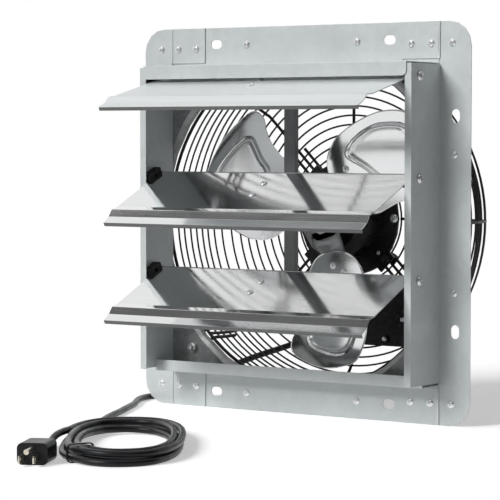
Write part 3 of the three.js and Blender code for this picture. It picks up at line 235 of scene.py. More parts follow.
def spangle_effect():
    """The frost-like crystals of hot zinc on steel, each with its own shade."""
    tree, start, end = effect("zinc_spangle", {"Size": 140.0, "Contrast": 0.5}, ("Shade",))
    where = put(tree, "TexCoord").outputs["Object"]
    bent = put(tree, "TexNoise", Vector=where, Scale=60.0).outputs["Color"]
    moved = put(tree, "Mix", {"data_type": "VECTOR"}, _0=0.012, _4=where, _5=bent).outputs[1]
    cells = put(tree, "TexVoronoi", Vector=moved, Scale=start["Size"]).outputs["Color"]
    shade = put(tree, "SeparateColor", Color=cells).outputs[0]
    centred = put(tree, "Math", {"operation": "SUBTRACT"}, _0=shade, _1=0.5).outputs[0]
    scaled = put(tree, "Math", {"operation": "MULTIPLY"}, _0=centred, _1=start["Contrast"]).outputs[0]
    tree.links.new(scaled, end["Shade"])
    return tree


def wear_effect():
    """Where corners and raised edges are rubbed, broken up by fine noise."""
    tree, start, end = effect("edge_wear", {"Amount": 0.5}, ("Wear",))
    raised = put(tree, "NewGeometry").outputs["Pointiness"]
    edge = ramped(tree, raised, low=0.51, high=0.6)
    broken = ramped(tree, stretched_noise(tree, scale=240), low=0.42, high=0.62)
    both = put(tree, "Math", {"operation": "MULTIPLY"}, _0=edge, _1=broken).outputs[0]
    scaled = put(tree, "Math", {"operation": "MULTIPLY"}, _0=both, _1=start["Amount"]).outputs[0]
    tree.links.new(scaled, end["Wear"])
    return tree


def dust_effect():
    """Fine dust on faces that look up, thicker in patches."""
    tree, start, end = effect("settled_dust", {"Amount": 0.3}, ("Dust",))
    normal = put(tree, "NewGeometry").outputs["Normal"]
    upward = ramped(tree, put(tree, "SeparateXYZ", Vector=normal).outputs["Z"], low=0.2, high=1)
    patches = ramped(tree, stretched_noise(tree, scale=45, detail=6), low=0.35, high=0.7)
    both = put(tree, "Math", {"operation": "MULTIPLY"}, _0=upward, _1=patches).outputs[0]
    scaled = put(tree, "Math", {"operation": "MULTIPLY"}, _0=both, _1=start["Amount"]).outputs[0]
    tree.links.new(scaled, end["Dust"])
    return tree


def skin_effect():
    """The fine pebbled skin of moulded plastic, rubber or sprayed paint."""
    tree, start, end = effect("pebbled_skin", {"Scale": 900.0}, ("Height", "Gloss"))
    where = put(tree, "TexCoord").outputs["Object"]
    fine = put(tree, "TexNoise", Vector=where, Scale=start["Scale"], Detail=2.0).outputs["Fac"]
    broad = stretched_noise(tree, scale=35, detail=5)
    tree.links.new(fine, end["Height"])
    centred = put(tree, "Math", {"operation": "SUBTRACT"}, _0=broad, _1=0.5).outputs[0]
    tree.links.new(centred, end["Gloss"])
    return tree


GRAIN, SPANGLE, WEAR, DUST, SKIN = (
    grain_effect(), spangle_effect(), wear_effect(), dust_effect(), skin_effect())


def placed(tree, group, **values):
    """One of the effects above, placed in a material with its own values."""
    node = tree.nodes.new("ShaderNodeGroup")
    node.node_tree = group
    for key, value in values.items():
        node.inputs[key].default_value = value
    return node.outputs


def material(name, metallic, specular=0.5):
    """A new material with its node tree and its shader's sockets."""
    made = bpy.data.materials.new(name)
    made.use_nodes = True
    shader = made.node_tree.nodes["Principled BSDF"]
    shader.inputs["Metallic"].default_value = metallic
    shader.inputs["Specular IOR Level"].default_value = specular
    return made, made.node_tree, shader.inputs


def plus(tree, *values):
    """The sum of several values."""
    total = values[0]
    for value in values[1:]:
        total = put(tree, "Math", _0=total, _1=value).outputs[0]
    return total


def times(tree, value, share):
    """A share of a value."""
    return put(tree, "Math", {"operation": "MULTIPLY"}, _0=value, _1=share).outputs[0]


def blended(tree, share, low, high):
    """A colour between two others."""
    return put(tree, "Mix", {"data_type": "RGBA"}, _0=share, _6=low, _7=high).outputs[2]


DUST_ON_METAL = (0.52, 0.51, 0.48, 1)
DUST_ON_BLACK = (0.2, 0.195, 0.185, 1)


def sheet_metal(name, dark, light, metallic, roughness, spangle, lines, dust, dent):
    """Bare sheet: crystals or rolling lines, dull patches, dust on top and a slightly wavy face."""
    made, tree, sockets = material(name, metallic)
    grain = placed(tree, GRAIN, Lines=lines, Patches=0.5)
    shade = placed(tree, SPANGLE, Contrast=spangle)["Shade"]
    dusty = placed(tree, DUST, Amount=dust)["Dust"]
    share = plus(tree, shade, grain["Grain"], times(tree, grain["Patch"], share=0.8), 0.5)
    bare = blended(tree, share, dark, light)
    tree.links.new(blended(tree, dusty, bare, DUST_ON_METAL), sockets["Base Color"])
    rough = plus(tree, times(tree, grain["Patch"], share=0.3), times(tree, dusty, share=0.4),
                 times(tree, shade, share=0.15), times(tree, grain["Grain"], share=0.2), roughness)
    tree.links.new(rough, sockets["Roughness"])
    wave = plus(tree, stretched_noise(tree, scale=9, stretch=(0.5, 1, 1), detail=2),
                times(tree, grain["Grain"], share=0.01))
    bump = put(tree, "Bump", Strength=dent, Distance=0.004, Height=wave)
    tree.links.new(bump.outputs["Normal"], sockets["Normal"])
    return made


def coated(name, colour, worn, roughness, wear, skin, dust, coat=0.0):
    """Paint, plastic or rubber: pebbled skin, rubbed edges and dust."""
    made, tree, sockets = material(name, metallic=0.0, specular=0.25)
    sockets["Coat Weight"].default_value = coat
    sockets["Coat Roughness"].default_value = 0.2
    surface = placed(tree, SKIN)
    rubbed = placed(tree, WEAR, Amount=wear)["Wear"]
    dusty = placed(tree, DUST, Amount=dust)["Dust"]
    edged = blended(tree, rubbed, colour, worn)
    tree.links.new(blended(tree, dusty, edged, DUST_ON_BLACK), sockets["Base Color"])
    rough = plus(tree, times(tree, surface["Gloss"], share=0.35), times(tree, dusty, share=0.3), roughness)
    tree.links.new(rough, sockets["Roughness"])
    bump = put(tree, "Bump", Strength=skin, Distance=0.0002, Height=surface["Height"])
    tree.links.new(bump.outputs["Normal"], sockets["Normal"])
    return made


def screw_metal(name, dark, light, roughness, metallic=0.9):
    """Zinc or nickel plate with tarnished patches."""
    made, tree, sockets = material(name, metallic)
    tarnish = stretched_noise(tree, scale=180, detail=5)
    tree.links.new(blended(tree, tarnish, dark, light), sockets["Base Color"])
    tree.links.new(plus(tree, times(tree, tarnish, share=-0.25), roughness), sockets["Roughness"])
    return made


galvanised = sheet_metal("galvanised_sheet", dark=(0.46, 0.49, 0.495, 1), light=(0.62, 0.655, 0.655, 1),
                         metallic=0.3, roughness=0.4, spangle=0.16, lines=0.12, dust=0.06, dent=0.08)
plate_steel = sheet_metal("orifice_steel", dark=(0.2, 0.21, 0.21, 1), light=(0.36, 0.37, 0.37, 1),
                          metallic=0.6, roughness=0.32, spangle=0.5, lines=0.3, dust=0.1, dent=0.15)
# Dark steel for the tie bar and the left tab's bend line: a painted shade of the shaded inside of the box.
link_steel_painted_shade = sheet_metal("link_steel_painted_shade", dark=(0.12, 0.13, 0.13, 1), light=(0.2, 0.21, 0.21, 1),
                         metallic=0.4, roughness=0.4, spangle=0.2, lines=0.3, dust=0.05, dent=0.1)
# A paler, hazier copy of the louver metal for the top louver alone: a painted reflection of the pale look
# that its flatter tilt gives it.
painted_reflection_sheet = sheet_metal("top_louver_painted_reflection", dark=(0.62, 0.645, 0.65, 1), light=(0.76, 0.79, 0.8, 1),
                         metallic=0.45, roughness=0.4, spangle=0.0, lines=0.4, dust=0.03, dent=0.04)
mirror = sheet_metal("polished_louver", dark=(0.66, 0.665, 0.67, 1), light=(0.86, 0.865, 0.87, 1),
                     metallic=1.0, roughness=0.1, spangle=0.0, lines=0.5, dust=0.03, dent=0.05)
# A dark copy of the louver sheet for the hems: painted shade, as the hems are the same aluminium as the
# louvers.
hem_painted_shade = sheet_metal("louver_hem_painted_shade", dark=(0.1, 0.105, 0.105, 1), light=(0.16, 0.165, 0.165, 1),
                        metallic=0.5, roughness=0.4, spangle=0.0, lines=0.3, dust=0.02, dent=0.04)
arm_steel = sheet_metal("spider_steel", dark=(0.2, 0.205, 0.21, 1), light=(0.3, 0.305, 0.31, 1),
                        metallic=0.5, roughness=0.36, spangle=0.2, lines=0.3, dust=0.05, dent=0.08)
blade_metal = sheet_metal("polished_blade", dark=(0.66, 0.665, 0.67, 1), light=(0.88, 0.885, 0.89, 1),
                          metallic=1.0, roughness=0.12, spangle=0.0, lines=0.2, dust=0.03, dent=0.09)
zinc = screw_metal("zinc_plate", dark=(0.42, 0.42, 0.43, 1), light=(0.7, 0.7, 0.71, 1), roughness=0.42)
rivet_metal = screw_metal("bright_rivet", dark=(0.66, 0.67, 0.68, 1), light=(0.86, 0.87, 0.88, 1),
                          roughness=0.34, metallic=0.7)
brass = screw_metal("nickel_brass", dark=(0.55, 0.5, 0.4, 1), light=(0.8, 0.77, 0.68, 1), roughness=0.35)
black_paint = coated("black_paint", colour=(0.008, 0.008, 0.009, 1), worn=(0.08, 0.08, 0.08, 1),
                     roughness=0.38, wear=0.5, skin=0.25, dust=0.12, coat=0.1)
wire_coat = coated("wire_coating", colour=(0.005, 0.005, 0.006, 1), worn=(0.03, 0.03, 0.03, 1),
                   roughness=0.4, wear=0.3, skin=0.15, dust=0.03, coat=0.05)
black_plastic = coated("black_plastic", colour=(0.008, 0.008, 0.009, 1), worn=(0.05, 0.05, 0.05, 1),
                       roughness=0.45, wear=0.5, skin=0.5, dust=0.12)
rubber = coated("cord_rubber", colour=(0.007, 0.0075, 0.009, 1), worn=(0.03, 0.03, 0.033, 1),
                roughness=0.34, wear=0.2, skin=0.2, dust=0.06)

# Meshes

MERGE_REACH = 0.00001
ROUND_STEPS = 32
SMALL_STEPS = 16
FORWARD = (0, -1, 0)


def fastened(made, body, stands_for=()):
    """Puts an object in the scene, on its body and in the place of rigid nodes."""
    scene.collection.objects.link(made)
    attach(made, body)
    if stands_for:
        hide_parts(*stands_for)
    return made


def piece(name, shape, body, finish, stands_for=(), sharp=35):
    """Makes a bmesh a named piece, smooth but for edges that are sharper than an angle in degrees."""
    bmesh.ops.remove_doubles(shape, verts=shape.verts, dist=MERGE_REACH)
    mesh = bpy.data.meshes.new(name)
    shape.to_mesh(mesh)
    shape.free()
    mesh.shade_smooth()
    mesh.set_sharp_from_angle(angle=math.radians(sharp))
    mesh.materials.append(finish)
    return fastened(bpy.data.objects.new(name, mesh), body, stands_for)


def modified(made, kind, **settings):
    """Adds a modifier to an object."""
    modifier = made.modifiers.new(kind.lower(), kind)
    for key, value in settings.items():
        setattr(modifier, key, value)
    return made


def softened(made, width):
    """Small round edges on a flat-sided piece."""
    return modified(made, "BEVEL", width=width * MM, segments=2, limit_method="ANGLE",
                    angle_limit=math.radians(35), harden_normals=True)


def bent_sheet(made, thickness):
    """Gives a thin face its sheet's thickness, half to each side."""
    return modified(made, "SOLIDIFY", thickness=thickness * MM, offset=0)


def facing(point, way):
    """A placement that turns Z to a direction and moves the centre to a point in millimetres."""
    turn = Vector(way).to_track_quat("Z", "Y").to_matrix().to_4x4()
    return Matrix.Translation(Vector(point) * MM) @ turn


def lathed(profile, steps):
    """A closed form turned about Z from distance and height points in millimetres."""
    shape = bmesh.new()
    line = [shape.verts.new((radius * MM, 0, height * MM)) for radius, height in profile]
    edges = [shape.edges.new(pair) for pair in zip(line, line[1:])]
    bmesh.ops.spin(shape, geom=line + edges, cent=(0, 0, 0), axis=(0, 0, 1), dvec=(0, 0, 0),
                   angle=FULL_TURN, steps=steps, use_merge=True, use_duplicate=False)
    bmesh.ops.remove_doubles(shape, verts=shape.verts, dist=MERGE_REACH / 10)
    bmesh.ops.recalc_face_normals(shape, faces=shape.faces)
    return shape


def repeated(unit, places):
    """Copies of a bmesh at many placements, in one bmesh."""
    part = bpy.data.meshes.new("unit")
    unit.to_mesh(part)
    unit.free()
    whole = bmesh.new()
    for place in places:
        start = len(whole.verts)
        whole.from_mesh(part)
        whole.verts.ensure_lookup_table()
        bmesh.ops.transform(whole, matrix=place, verts=whole.verts[start:])
    bpy.data.meshes.remove(part)
    return whole


def combined(*shapes):
    """Several bmeshes in one."""
    whole = repeated(shapes[0], [Matrix()])
    for shape in shapes[1:]:
        part = bpy.data.meshes.new("unit")
        shape.to_mesh(part)
        shape.free()
        whole.from_mesh(part)
        bpy.data.meshes.remove(part)
    return whole


def block(low, high, round_edge=0):
    """A box between two corners in millimetres, with rounded edges."""
    shape = bmesh.new()
    bmesh.ops.create_cube(shape, size=1)
    size = (Vector(high) - Vector(low)) * MM
    middle = (Vector(high) + Vector(low)) / 2 * MM
    place = Matrix.Translation(middle) @ Matrix.Diagonal((*size, 1))
    bmesh.ops.transform(shape, matrix=place, verts=shape.verts)
    if round_edge:
        bmesh.ops.bevel(shape, geom=shape.edges, offset=round_edge * MM, affect="EDGES", segments=3,
                        profile=0.5, material=-1)
    return shape


def wires(name, lines, body, finish, stands_for):
    """Round wires along lines of millimetre points: each line is points, radius and whether it closes."""
    curve = bpy.data.curves.new(name, "CURVE")
    curve.dimensions = "3D"
    curve.bevel_depth = MM
    curve.bevel_resolution = 3
    curve.resolution_u = 4
    curve.use_fill_caps = True
    for points, radius, closed in lines:
        spline = curve.splines.new("POLY")
        spline.points.add(len(points) - 1)
        for place, point in zip(spline.points, points):
            place.co = (*(Vector(point) * MM), 1)
            place.radius = radius
        spline.use_cyclic_u = closed
        spline.use_smooth = True
    curve.materials.append(finish)
    return fastened(bpy.data.objects.new(name, curve), body, stands_for)


def polar(radius, angle, depth):
    """A place by its distance from the wheel's axis, its angle and its depth."""
    return Vector((radius * math.cos(angle), depth, radius * math.sin(angle)))


# The lead in one piece, from the gland to the plug

lead_curve = bpy.data.curves.new("mains_lead", "CURVE")
lead_curve.dimensions = "3D"
lead_curve.bevel_depth = CORD_RADIUS * MM
lead_curve.bevel_resolution = 5
lead_curve.resolution_u = 6
lead_curve.use_fill_caps = True
lead_spline = lead_curve.splines.new("BEZIER")
lead_spline.bezier_points.add(len(lead_places) - 1)
for knot, place in zip(lead_spline.bezier_points, lead_places):
    knot.co = Vector(place) * MM
    knot.handle_left_type = "AUTO"
    knot.handle_right_type = "AUTO"
lead_curve.materials.append(rubber)
mains_lead = fastened(bpy.data.objects.new("mains_lead", lead_curve), "frame",
                      ["power_cord", "cord_coil", "plug_lead"])

# Carried-over sheets and small rigid pieces, with the finish of the real ones, but for the tie bar, whose
# dark steel is a painted shade

LEVELS = ("top", "middle", "bottom")
SIDES = {"left": -1, "right": 1}
NODE_FINISH = {
    galvanised: ["frame_left", "frame_right", "frame_top", "frame_bottom"],
    plate_steel: ["orifice_plate"],
    # The tie bar's dark steel is painted shade.
    link_steel_painted_shade: ["tie_bar"],
    zinc: [f"{kind}_{level}" for kind in ("link_bracket", "tie_pin") for level in LEVELS]
    + ["fan_hub", "motor_shaft"],
    brass: ["plug_blade_left", "plug_blade_right", "plug_ground_pin"],
    black_paint: ["motor_bracket", "wiring_box_clamp", "motor_body", "motor_rear_cover"],
    black_plastic: [f"hinge_block_{level}_{side}" for level in LEVELS for side in SIDES]
    + ["wiring_box", "coil_tie"],
    rubber: ["cord_gland", "plug_body"],
}
EDGE_RADIUS = 0.3
for finish, names in NODE_FINISH.items():
    for name in names:
        node = nodes[name]
        node.data.materials.clear()
        node.data.materials.append(finish)
        modified(node, "WELD", merge_threshold=2 * MERGE_REACH)
        modified(node, "DECIMATE", decimate_type="DISSOLVE", angle_limit=math.radians(1))
        softened(node, EDGE_RADIUS)

# Louvers: one folded sheet each, with a turned-up back edge, a hem with painted shade and two rivets

PIVOT_DEPTH = 38.7
LOUVER_PITCH = 97.4
TOP_PIVOT = 141.4
LOUVER_TILTS = {"top": 14, "middle": 25, "bottom": 25}
LOUVER_HALF = 151.6
LOUVER_SHEET = 0.9
CREASE_RADIUS = 0.35
CREASE_LEAST_ANGLE = 0.05
LOUVER_LINE = [(-9, 0.8), (-8.4, 0), (71.8, 0), (80.7, 1.55), (88.8, -2.8), (98.6, -4.6), (98.2, -8.1)]


def louver_frame(tilt, pivot):
    """Turns forward and up distances along a louver's own panel into depth and height."""
    ahead = (-math.cos(tilt), -math.sin(tilt))
    upward = (-math.sin(tilt), math.cos(tilt))
    return lambda along, rise: (
        -PIVOT_DEPTH + ahead[0] * along + upward[0] * rise,
        pivot + ahead[1] * along + upward[1] * rise,
    )


def rivet_profile(scale):
    """A blind rivet's flat dome with the hole of its drawn stem."""
    points = [(0, -0.6), (2.6, -0.6), (2.6, 0.25), (2.2, 0.8), (1.5, 1.05), (0.9, 1.1), (0.7, 0.5), (0, 0.5)]
    return [(distance * scale, height * scale) for distance, height in points]


# The top louver's paler finish is a painted reflection; the louvers are one metal.
LOUVER_FINISH = {"top": painted_reflection_sheet, "middle": mirror, "bottom": mirror}
LOUVER_RIVETS = {
    "top": [(-17, 7.6), (-14, 31)],
    "middle": [(-8.7, 15), (-6.5, 40)],
    "bottom": [(-13, 14.5), (-12, 37)],
}
LOUVER_RIVET_SCALE = 1.5
RIVET_SEAT = 0.5
for order, (name, degrees) in enumerate(LOUVER_TILTS.items()):
    tilt = math.radians(degrees)
    to_box = louver_frame(tilt, TOP_PIVOT - LOUVER_PITCH * order)
    shape = bmesh.new()
    line = [shape.verts.new(Vector((-LOUVER_HALF, *to_box(*point))) * MM) for point in LOUVER_LINE]
    edges = [shape.edges.new(pair) for pair in zip(line, line[1:])]
    grown = bmesh.ops.extrude_edge_only(shape, edges=edges)["geom"]
    bmesh.ops.translate(shape, vec=(2 * LOUVER_HALF * MM, 0, 0),
                        verts=[part for part in grown if isinstance(part, bmesh.types.BMVert)])
    # The hem's faces take the second material, which paints shade on them.
    edges[-1].link_faces[0].material_index = 1
    creases = [edge for edge in shape.edges
               if len(edge.link_faces) == 2 and edge.calc_face_angle(0) > CREASE_LEAST_ANGLE]
    bmesh.ops.bevel(shape, geom=creases, offset=CREASE_RADIUS * MM, offset_type="OFFSET", affect="EDGES",
                    segments=2, profile=0.5, material=-1)
    bmesh.ops.recalc_face_normals(shape, faces=shape.faces)
    made = piece(f"louver_sheet_{name}", shape, f"louver_{name}", LOUVER_FINISH[name],
                 [f"louver_{name}"], sharp=12)
    made.data.materials.append(hem_painted_shade)
    bent_sheet(made, LOUVER_SHEET)
    modified(made, "WEIGHTED_NORMAL", keep_sharp=True)
    way = (0, -math.sin(tilt), math.cos(tilt))
    places = [facing((x, *to_box(along, RIVET_SEAT)), way) for x, along in LOUVER_RIVETS[name]]
    rivets = repeated(lathed(rivet_profile(LOUVER_RIVET_SCALE), SMALL_STEPS), places)
    piece(f"louver_rivets_{name}", rivets, f"louver_{name}", rivet_metal)

# Fan wheel: three embossed blades riveted to the arms of a spider

HUB_PLANE = 41
BLADE_PLANE = 46
TIP_RADIUS = 152
ROOT_PITCH = -18
TIP_PITCH = -14.5
CAMBER = 3
BLADE_MIDDLE = 24
BLADE_SHEET = 1.4
TRAILING_EDGE = [
    (0.224, 25), (0.243, 35.5), (0.263, 42), (0.289, 48), (0.329, 52), (0.382, 54.2),
    (0.441, 53.6), (0.493, 51.6), (0.559, 48.8), (0.635, 44), (0.711, 39.4), (0.809, 33.8),
    (0.88, 29.6), (0.955, 24), (0.984, 20), (0.993, 13), (1, 7),
]
LEADING_EDGE = [
    (0.224, 6), (0.259, -10), (0.303, -16), (0.388, -19), (0.46, -16.2), (0.542, -13.6),
    (0.602, -12.8), (0.696, -12.7), (0.796, -14.4), (0.87, -16.4), (0.936, -16),
    (0.972, -13.8), (0.987, -8.5), (1, 0),
]
ROOT_RADIUS = LEADING_EDGE[0][0] * TIP_RADIUS
BLADE_CENTRE = Vector((92, 20))
EMBOSS = [
    (62, 44), (69.5, 50.6), (82, 54), (98, 55), (113, 51), (127, 43), (132.5, 33), (134, 20),
    (132.5, 3), (129.5, -8), (124, -12.5), (117, -10.5), (102, -4), (86, 0.5), (78, 12), (71.5, 26),
]
BEAD_HEIGHT = 1.3
PANEL_HEIGHT = 0.9
EMBOSS_REACH = 3.6
BLADE_RIVETS = [(48.7, 20), (60.1, 33.7)]
BLADE_RIVET_SCALE = 1.4
BLADE_ANGLES = [math.radians(145.6 - 120 * index) for index in range(3)]


def eased(before, low, high, after, share):
    """A smooth curve through four evenly placed values, between the middle two."""
    slope_low, slope_high = (high - before) / 2, (after - low) / 2
    square, cube = share**2, share**3
    return ((2 * cube - 3 * square + 1) * low + (cube - 2 * square + share) * slope_low
            + (3 * square - 2 * cube) * high + (cube - square) * slope_high)


def smooth_loop(corners, count):
    """Evenly spread points of a smooth closed curve through corners at uneven distances."""
    total = len(corners)
    gaps = [(corners[(index + 1) % total] - corners[index]).length for index in range(total)]
    slopes = [(corners[(index + 1) % total] - corners[index - 1]) / (gaps[index] + gaps[index - 1])
              for index in range(total)]
    loop, index, passed = [], 0, 0
    for step in range(count):
        reach = sum(gaps) * step / count
        while reach > passed + gaps[index]:
            passed += gaps[index]
            index += 1
        share = (reach - passed) / gaps[index]
        square, cube = share**2, share**3
        after = (index + 1) % total
        turned = (cube - 2 * square + share) * slopes[index] + (cube - square) * slopes[after]
        loop.append((2 * cube - 3 * square + 1) * corners[index] + (3 * square - 2 * cube) * corners[after]
                    + turned * gaps[index])
    return loop


def edge_corners(table):
    """Corners of a blade's edge from shares of the tip's radius and angles in degrees."""
    return [Vector((math.cos(math.radians(turn)), math.sin(math.radians(turn)))) * share * TIP_RADIUS
            for share, turn in table]


def pitch_depth(along, across):
    """Depth of a blade's middle face, which is pitched and bowed."""
    share = clamp((math.hypot(along, across) - ROOT_RADIUS) / (TIP_RADIUS - ROOT_RADIUS))
    pitch = math.radians(lerp(ROOT_PITCH, TIP_PITCH, share))
    bow = CAMBER * share * (1 - ((across - BLADE_MIDDLE) / (TIP_RADIUS / 2)) ** 2)
    return BLADE_PLANE + math.tan(pitch) * across + bow


RIDGE_STEPS = 96
RIDGE = smooth_loop([Vector(corner) for corner in EMBOSS], RIDGE_STEPS)


def emboss_height(place):
    """Height of the raised panel and of the bead round it, from the distance to the bead's line."""
    near, inside = math.inf, False
    for start, end in zip(RIDGE, [*RIDGE[1:], RIDGE[0]]):
        way = end - start
        foot = start + way * clamp((place - start).dot(way) / way.length_squared)
        near = min(near, (place - foot).length)
        if (start.y > place.y) != (end.y > place.y):
            inside ^= place.x < start.x + way.x * (place.y - start.y) / way.y
    within = clamp(0.5 + (near if inside else -near) / EMBOSS_REACH / 2)
    bead = 0.5 + 0.5 * math.cos(math.pi * clamp(near / EMBOSS_REACH))
    return BEAD_HEIGHT * bead + PANEL_HEIGHT * within * within * (3 - 2 * within)


def pressed_sheet(rows, columns, point_at):
    """A grid laid over a surface given by two shares from 0 to 1."""
    shape = bmesh.new()
    bmesh.ops.create_grid(shape, x_segments=rows, y_segments=columns, size=0.5)
    for vert in shape.verts:
        vert.co = point_at(vert.co.x + 0.5, vert.co.y + 0.5) * MM
    return shape


def blade_point(place):
    """A place on a blade, with its pitch and its embossing."""
    return Vector((place.x, pitch_depth(place.x, place.y) - emboss_height(place), place.y)) * MM


BLADE_RINGS = 46
OUTLINE_STEPS = 150
outline = smooth_loop([*edge_corners(LEADING_EDGE), *reversed(edge_corners(TRAILING_EDGE))], OUTLINE_STEPS)
blade_shape = bmesh.new()
middle = blade_shape.verts.new(blade_point(BLADE_CENTRE))
rings = []
for step in range(1, BLADE_RINGS + 1):
    places = [BLADE_CENTRE.lerp(corner, step / BLADE_RINGS) for corner in outline]
    rings.append([blade_shape.verts.new(blade_point(place)) for place in places])
for index in range(len(outline)):
    beside = index - 1
    blade_shape.faces.new((middle, rings[0][beside], rings[0][index]))
    for inner, outer in zip(rings, rings[1:]):
        blade_shape.faces.new((inner[beside], outer[beside], outer[index], inner[index]))
bmesh.ops.recalc_face_normals(blade_shape, faces=blade_shape.faces)
for number, reference in enumerate(BLADE_ANGLES, start=1):
    turned = repeated(blade_shape.copy(), [Matrix.Rotation(-reference, 4, "Y")])
    made = piece(f"blade_sheet_{number}", turned, "fan_wheel", blade_metal,
                 [f"fan_blade_{number}"], sharp=60)
    bent_sheet(made, BLADE_SHEET)
blade_shape.free()

ARM_ANGLE = math.radians(22.5)
ARM_WAIST = 16
ARM_TIP = 20
ARM_END = 63
ARM_NECK = 38
ARM_SHEET = 2
SPIDER_DISC = 22
ARM_ROWS = 24
ARM_COLUMNS = 12
ARM_CLEARANCE = 0.3
RIVET_SINK = 0.1
SEAT = (BLADE_SHEET + ARM_SHEET) / 2 / math.cos(math.radians(ROOT_PITCH)) + ARM_CLEARANCE


def arm_point(reference, row, column):
    """An arm's middle face, from the flat disc at the hub to the back of its blade's root."""
    along = lerp(SPIDER_DISC / 2, ARM_END, row)
    half = lerp(ARM_WAIST, ARM_TIP, clamp((along - ARM_NECK) / (ARM_END - ARM_NECK)))
    across = lerp(-half, half, column)
    radius, angle = math.hypot(along, across), math.atan2(across, along) + ARM_ANGLE
    rise = clamp((along - SPIDER_DISC) / (ROOT_RADIUS - SPIDER_DISC))
    twist = rise * rise * (3 - 2 * rise)
    behind_blade = pitch_depth(radius * math.cos(angle), radius * math.sin(angle)) + SEAT
    return polar(radius, reference + angle, lerp(HUB_PLANE - SEAT, behind_blade, twist))


arms = combined(*(
    pressed_sheet(ARM_ROWS, ARM_COLUMNS, lambda row, column: arm_point(reference, row, column))
    for reference in BLADE_ANGLES))
disc = bmesh.new()
bmesh.ops.create_circle(disc, cap_ends=True, cap_tris=False, segments=48, radius=SPIDER_DISC * MM,
                        matrix=facing((0, HUB_PLANE - SEAT, 0), FORWARD))
spider = piece("spider_arms", combined(arms, disc), "fan_wheel", arm_steel,
               ["fan_spider"])
bent_sheet(spider, ARM_SHEET)

blade_rivets = []
for reference in BLADE_ANGLES:
    for radius, turn in BLADE_RIVETS:
        angle = math.radians(turn)
        depth = pitch_depth(radius * math.cos(angle), radius * math.sin(angle)) - BLADE_SHEET / 2 - RIVET_SINK
        blade_rivets.append(facing(polar(radius, reference + angle, depth), FORWARD))
piece("blade_rivets", repeated(lathed(rivet_profile(BLADE_RIVET_SCALE), SMALL_STEPS), blade_rivets),
      "fan_wheel", rivet_metal)

# Wire guard: rings on eight bent ribs, with rails for the motor bracket and a loop at each corner bolt

RIM_RING = (169.8, 10.7)
SIDE_RINGS = [(170.7, 24.4), (171.2, 35.1), (170.3, 44.9), (170.8, 56.1), (168.6, 63.4), (166.6, 70.7),
              (165.4, 80.5), (161.4, 89), (153.4, 95.3)]
GUARD_BACK = 99
GUARD_CORNER = [(152.2, 95.8), (140, GUARD_BACK)]
RING_PITCH = 9.65
BACK_RINGS = range(6, 16)
RING_STEPS = 96
RING_WIRE = 1
RIB_COUNT = 8
RIB_WIRE = 1.6
RIB_INSET = 0.6
RAIL_OFFSET = 7.4
RAIL_END = 93.5
RIM_WIRE = 1.75
PLATE_BACK = 2.3
LUG_CLEARANCE = 0.3
LUG_PLANE = PLATE_BACK + LUG_CLEARANCE + RIM_WIRE
LUG_RADIUS = 6
LUG_DISTANCE = 189.2
LUG_DEPTHS = (50, 30)
LUG_STEPS = 10


def ring(radius, depth, wire):
    """A closed round wire about the wheel's axis."""
    return ([polar(radius, FULL_TURN * step / RING_STEPS, depth) for step in range(RING_STEPS)], wire, True)


def smooth_line(points, steps):
    """Points of a smooth curve through the given ones."""
    line = []
    last = len(points) - 1
    for index in range(last):
        four = [Vector(points[min(max(index + step, 0), last)]) for step in (-1, 0, 1, 2)]
        for step in range(steps):
            line.append(Vector(eased(*(point[axis] for point in four), step / steps) for axis in range(3)))
    return [*line, Vector(points[last])]


def rib_line(angle):
    """A rib just inside the side rings, round the corner and in to the first back ring."""
    places = [RIM_RING, *(SIDE_RINGS[index] for index in (1, 3, 6, 7)), *GUARD_CORNER,
              (BACK_RINGS[0] * RING_PITCH, GUARD_BACK)]
    return smooth_line([polar(radius - RIB_INSET, angle, depth) for radius, depth in places], 4)


def lug_line(angle):
    """A loop round a corner bolt, with two legs that run back along the side rings."""
    def at(distance, depth, across):
        return Vector((distance * math.cos(angle) - across * math.sin(angle), depth,
                       distance * math.sin(angle) + across * math.cos(angle)))

    bow = [at(LUG_DISTANCE + LUG_RADIUS * math.cos(turn), LUG_PLANE, LUG_RADIUS * math.sin(turn))
           for turn in (math.pi * (step / LUG_STEPS - 0.5) for step in range(LUG_STEPS + 1))]
    legs = [[*(at(RIM_RING[0], depth, side * LUG_RADIUS) for depth in (*LUG_DEPTHS, RIM_RING[1])),
             at((RIM_RING[0] + LUG_DISTANCE) / 2, LUG_PLANE, side * LUG_RADIUS)] for side in (-1, 1)]
    return smooth_line([*legs[0], *bow, *reversed(legs[1])], 3)


def rail_line(angle, side):
    """One of two straight wires beside a diagonal, for the motor bracket's bolts."""
    start = math.sqrt((BACK_RINGS[0] * RING_PITCH) ** 2 - RAIL_OFFSET**2)
    offset = side * RAIL_OFFSET
    return [Vector((reach * math.cos(angle) - offset * math.sin(angle), GUARD_BACK,
                    reach * math.sin(angle) + offset * math.cos(angle))) for reach in (start, RAIL_END)]


diagonals = [math.radians(45 + 90 * index) for index in range(4)]
guard_lines = [ring(*RIM_RING, RIM_WIRE)]
guard_lines += [ring(*place, RING_WIRE) for place in SIDE_RINGS]
guard_lines += [ring(number * RING_PITCH, GUARD_BACK, RING_WIRE) for number in BACK_RINGS]
guard_lines += [(rib_line(FULL_TURN * index / RIB_COUNT), RIB_WIRE, False) for index in range(RIB_COUNT)]
guard_lines += [(rail_line(angle, side), RIB_WIRE, False) for angle in diagonals for side in (-1, 1)]
guard_lines += [(lug_line(angle), RIM_WIRE, False) for angle in diagonals]
wires("guard_wires", guard_lines, "frame", wire_coat, ["wire_guard"])

# Screws and bolts

SCREW_RADIUS = 4.6
CROSS_REACH = 2.6
CROSS_HALF = 0.6
CROSS_FLOOR = 0.9
CROSS_TOP = 4
SCREW_PROFILE = [(0, -6), (2, -6), (2, 0), (SCREW_RADIUS, 0), (SCREW_RADIUS, 0.9), (SCREW_RADIUS * 0.86, 1.8),
                 (SCREW_RADIUS * 0.5, 2.2), (0, 2.25)]


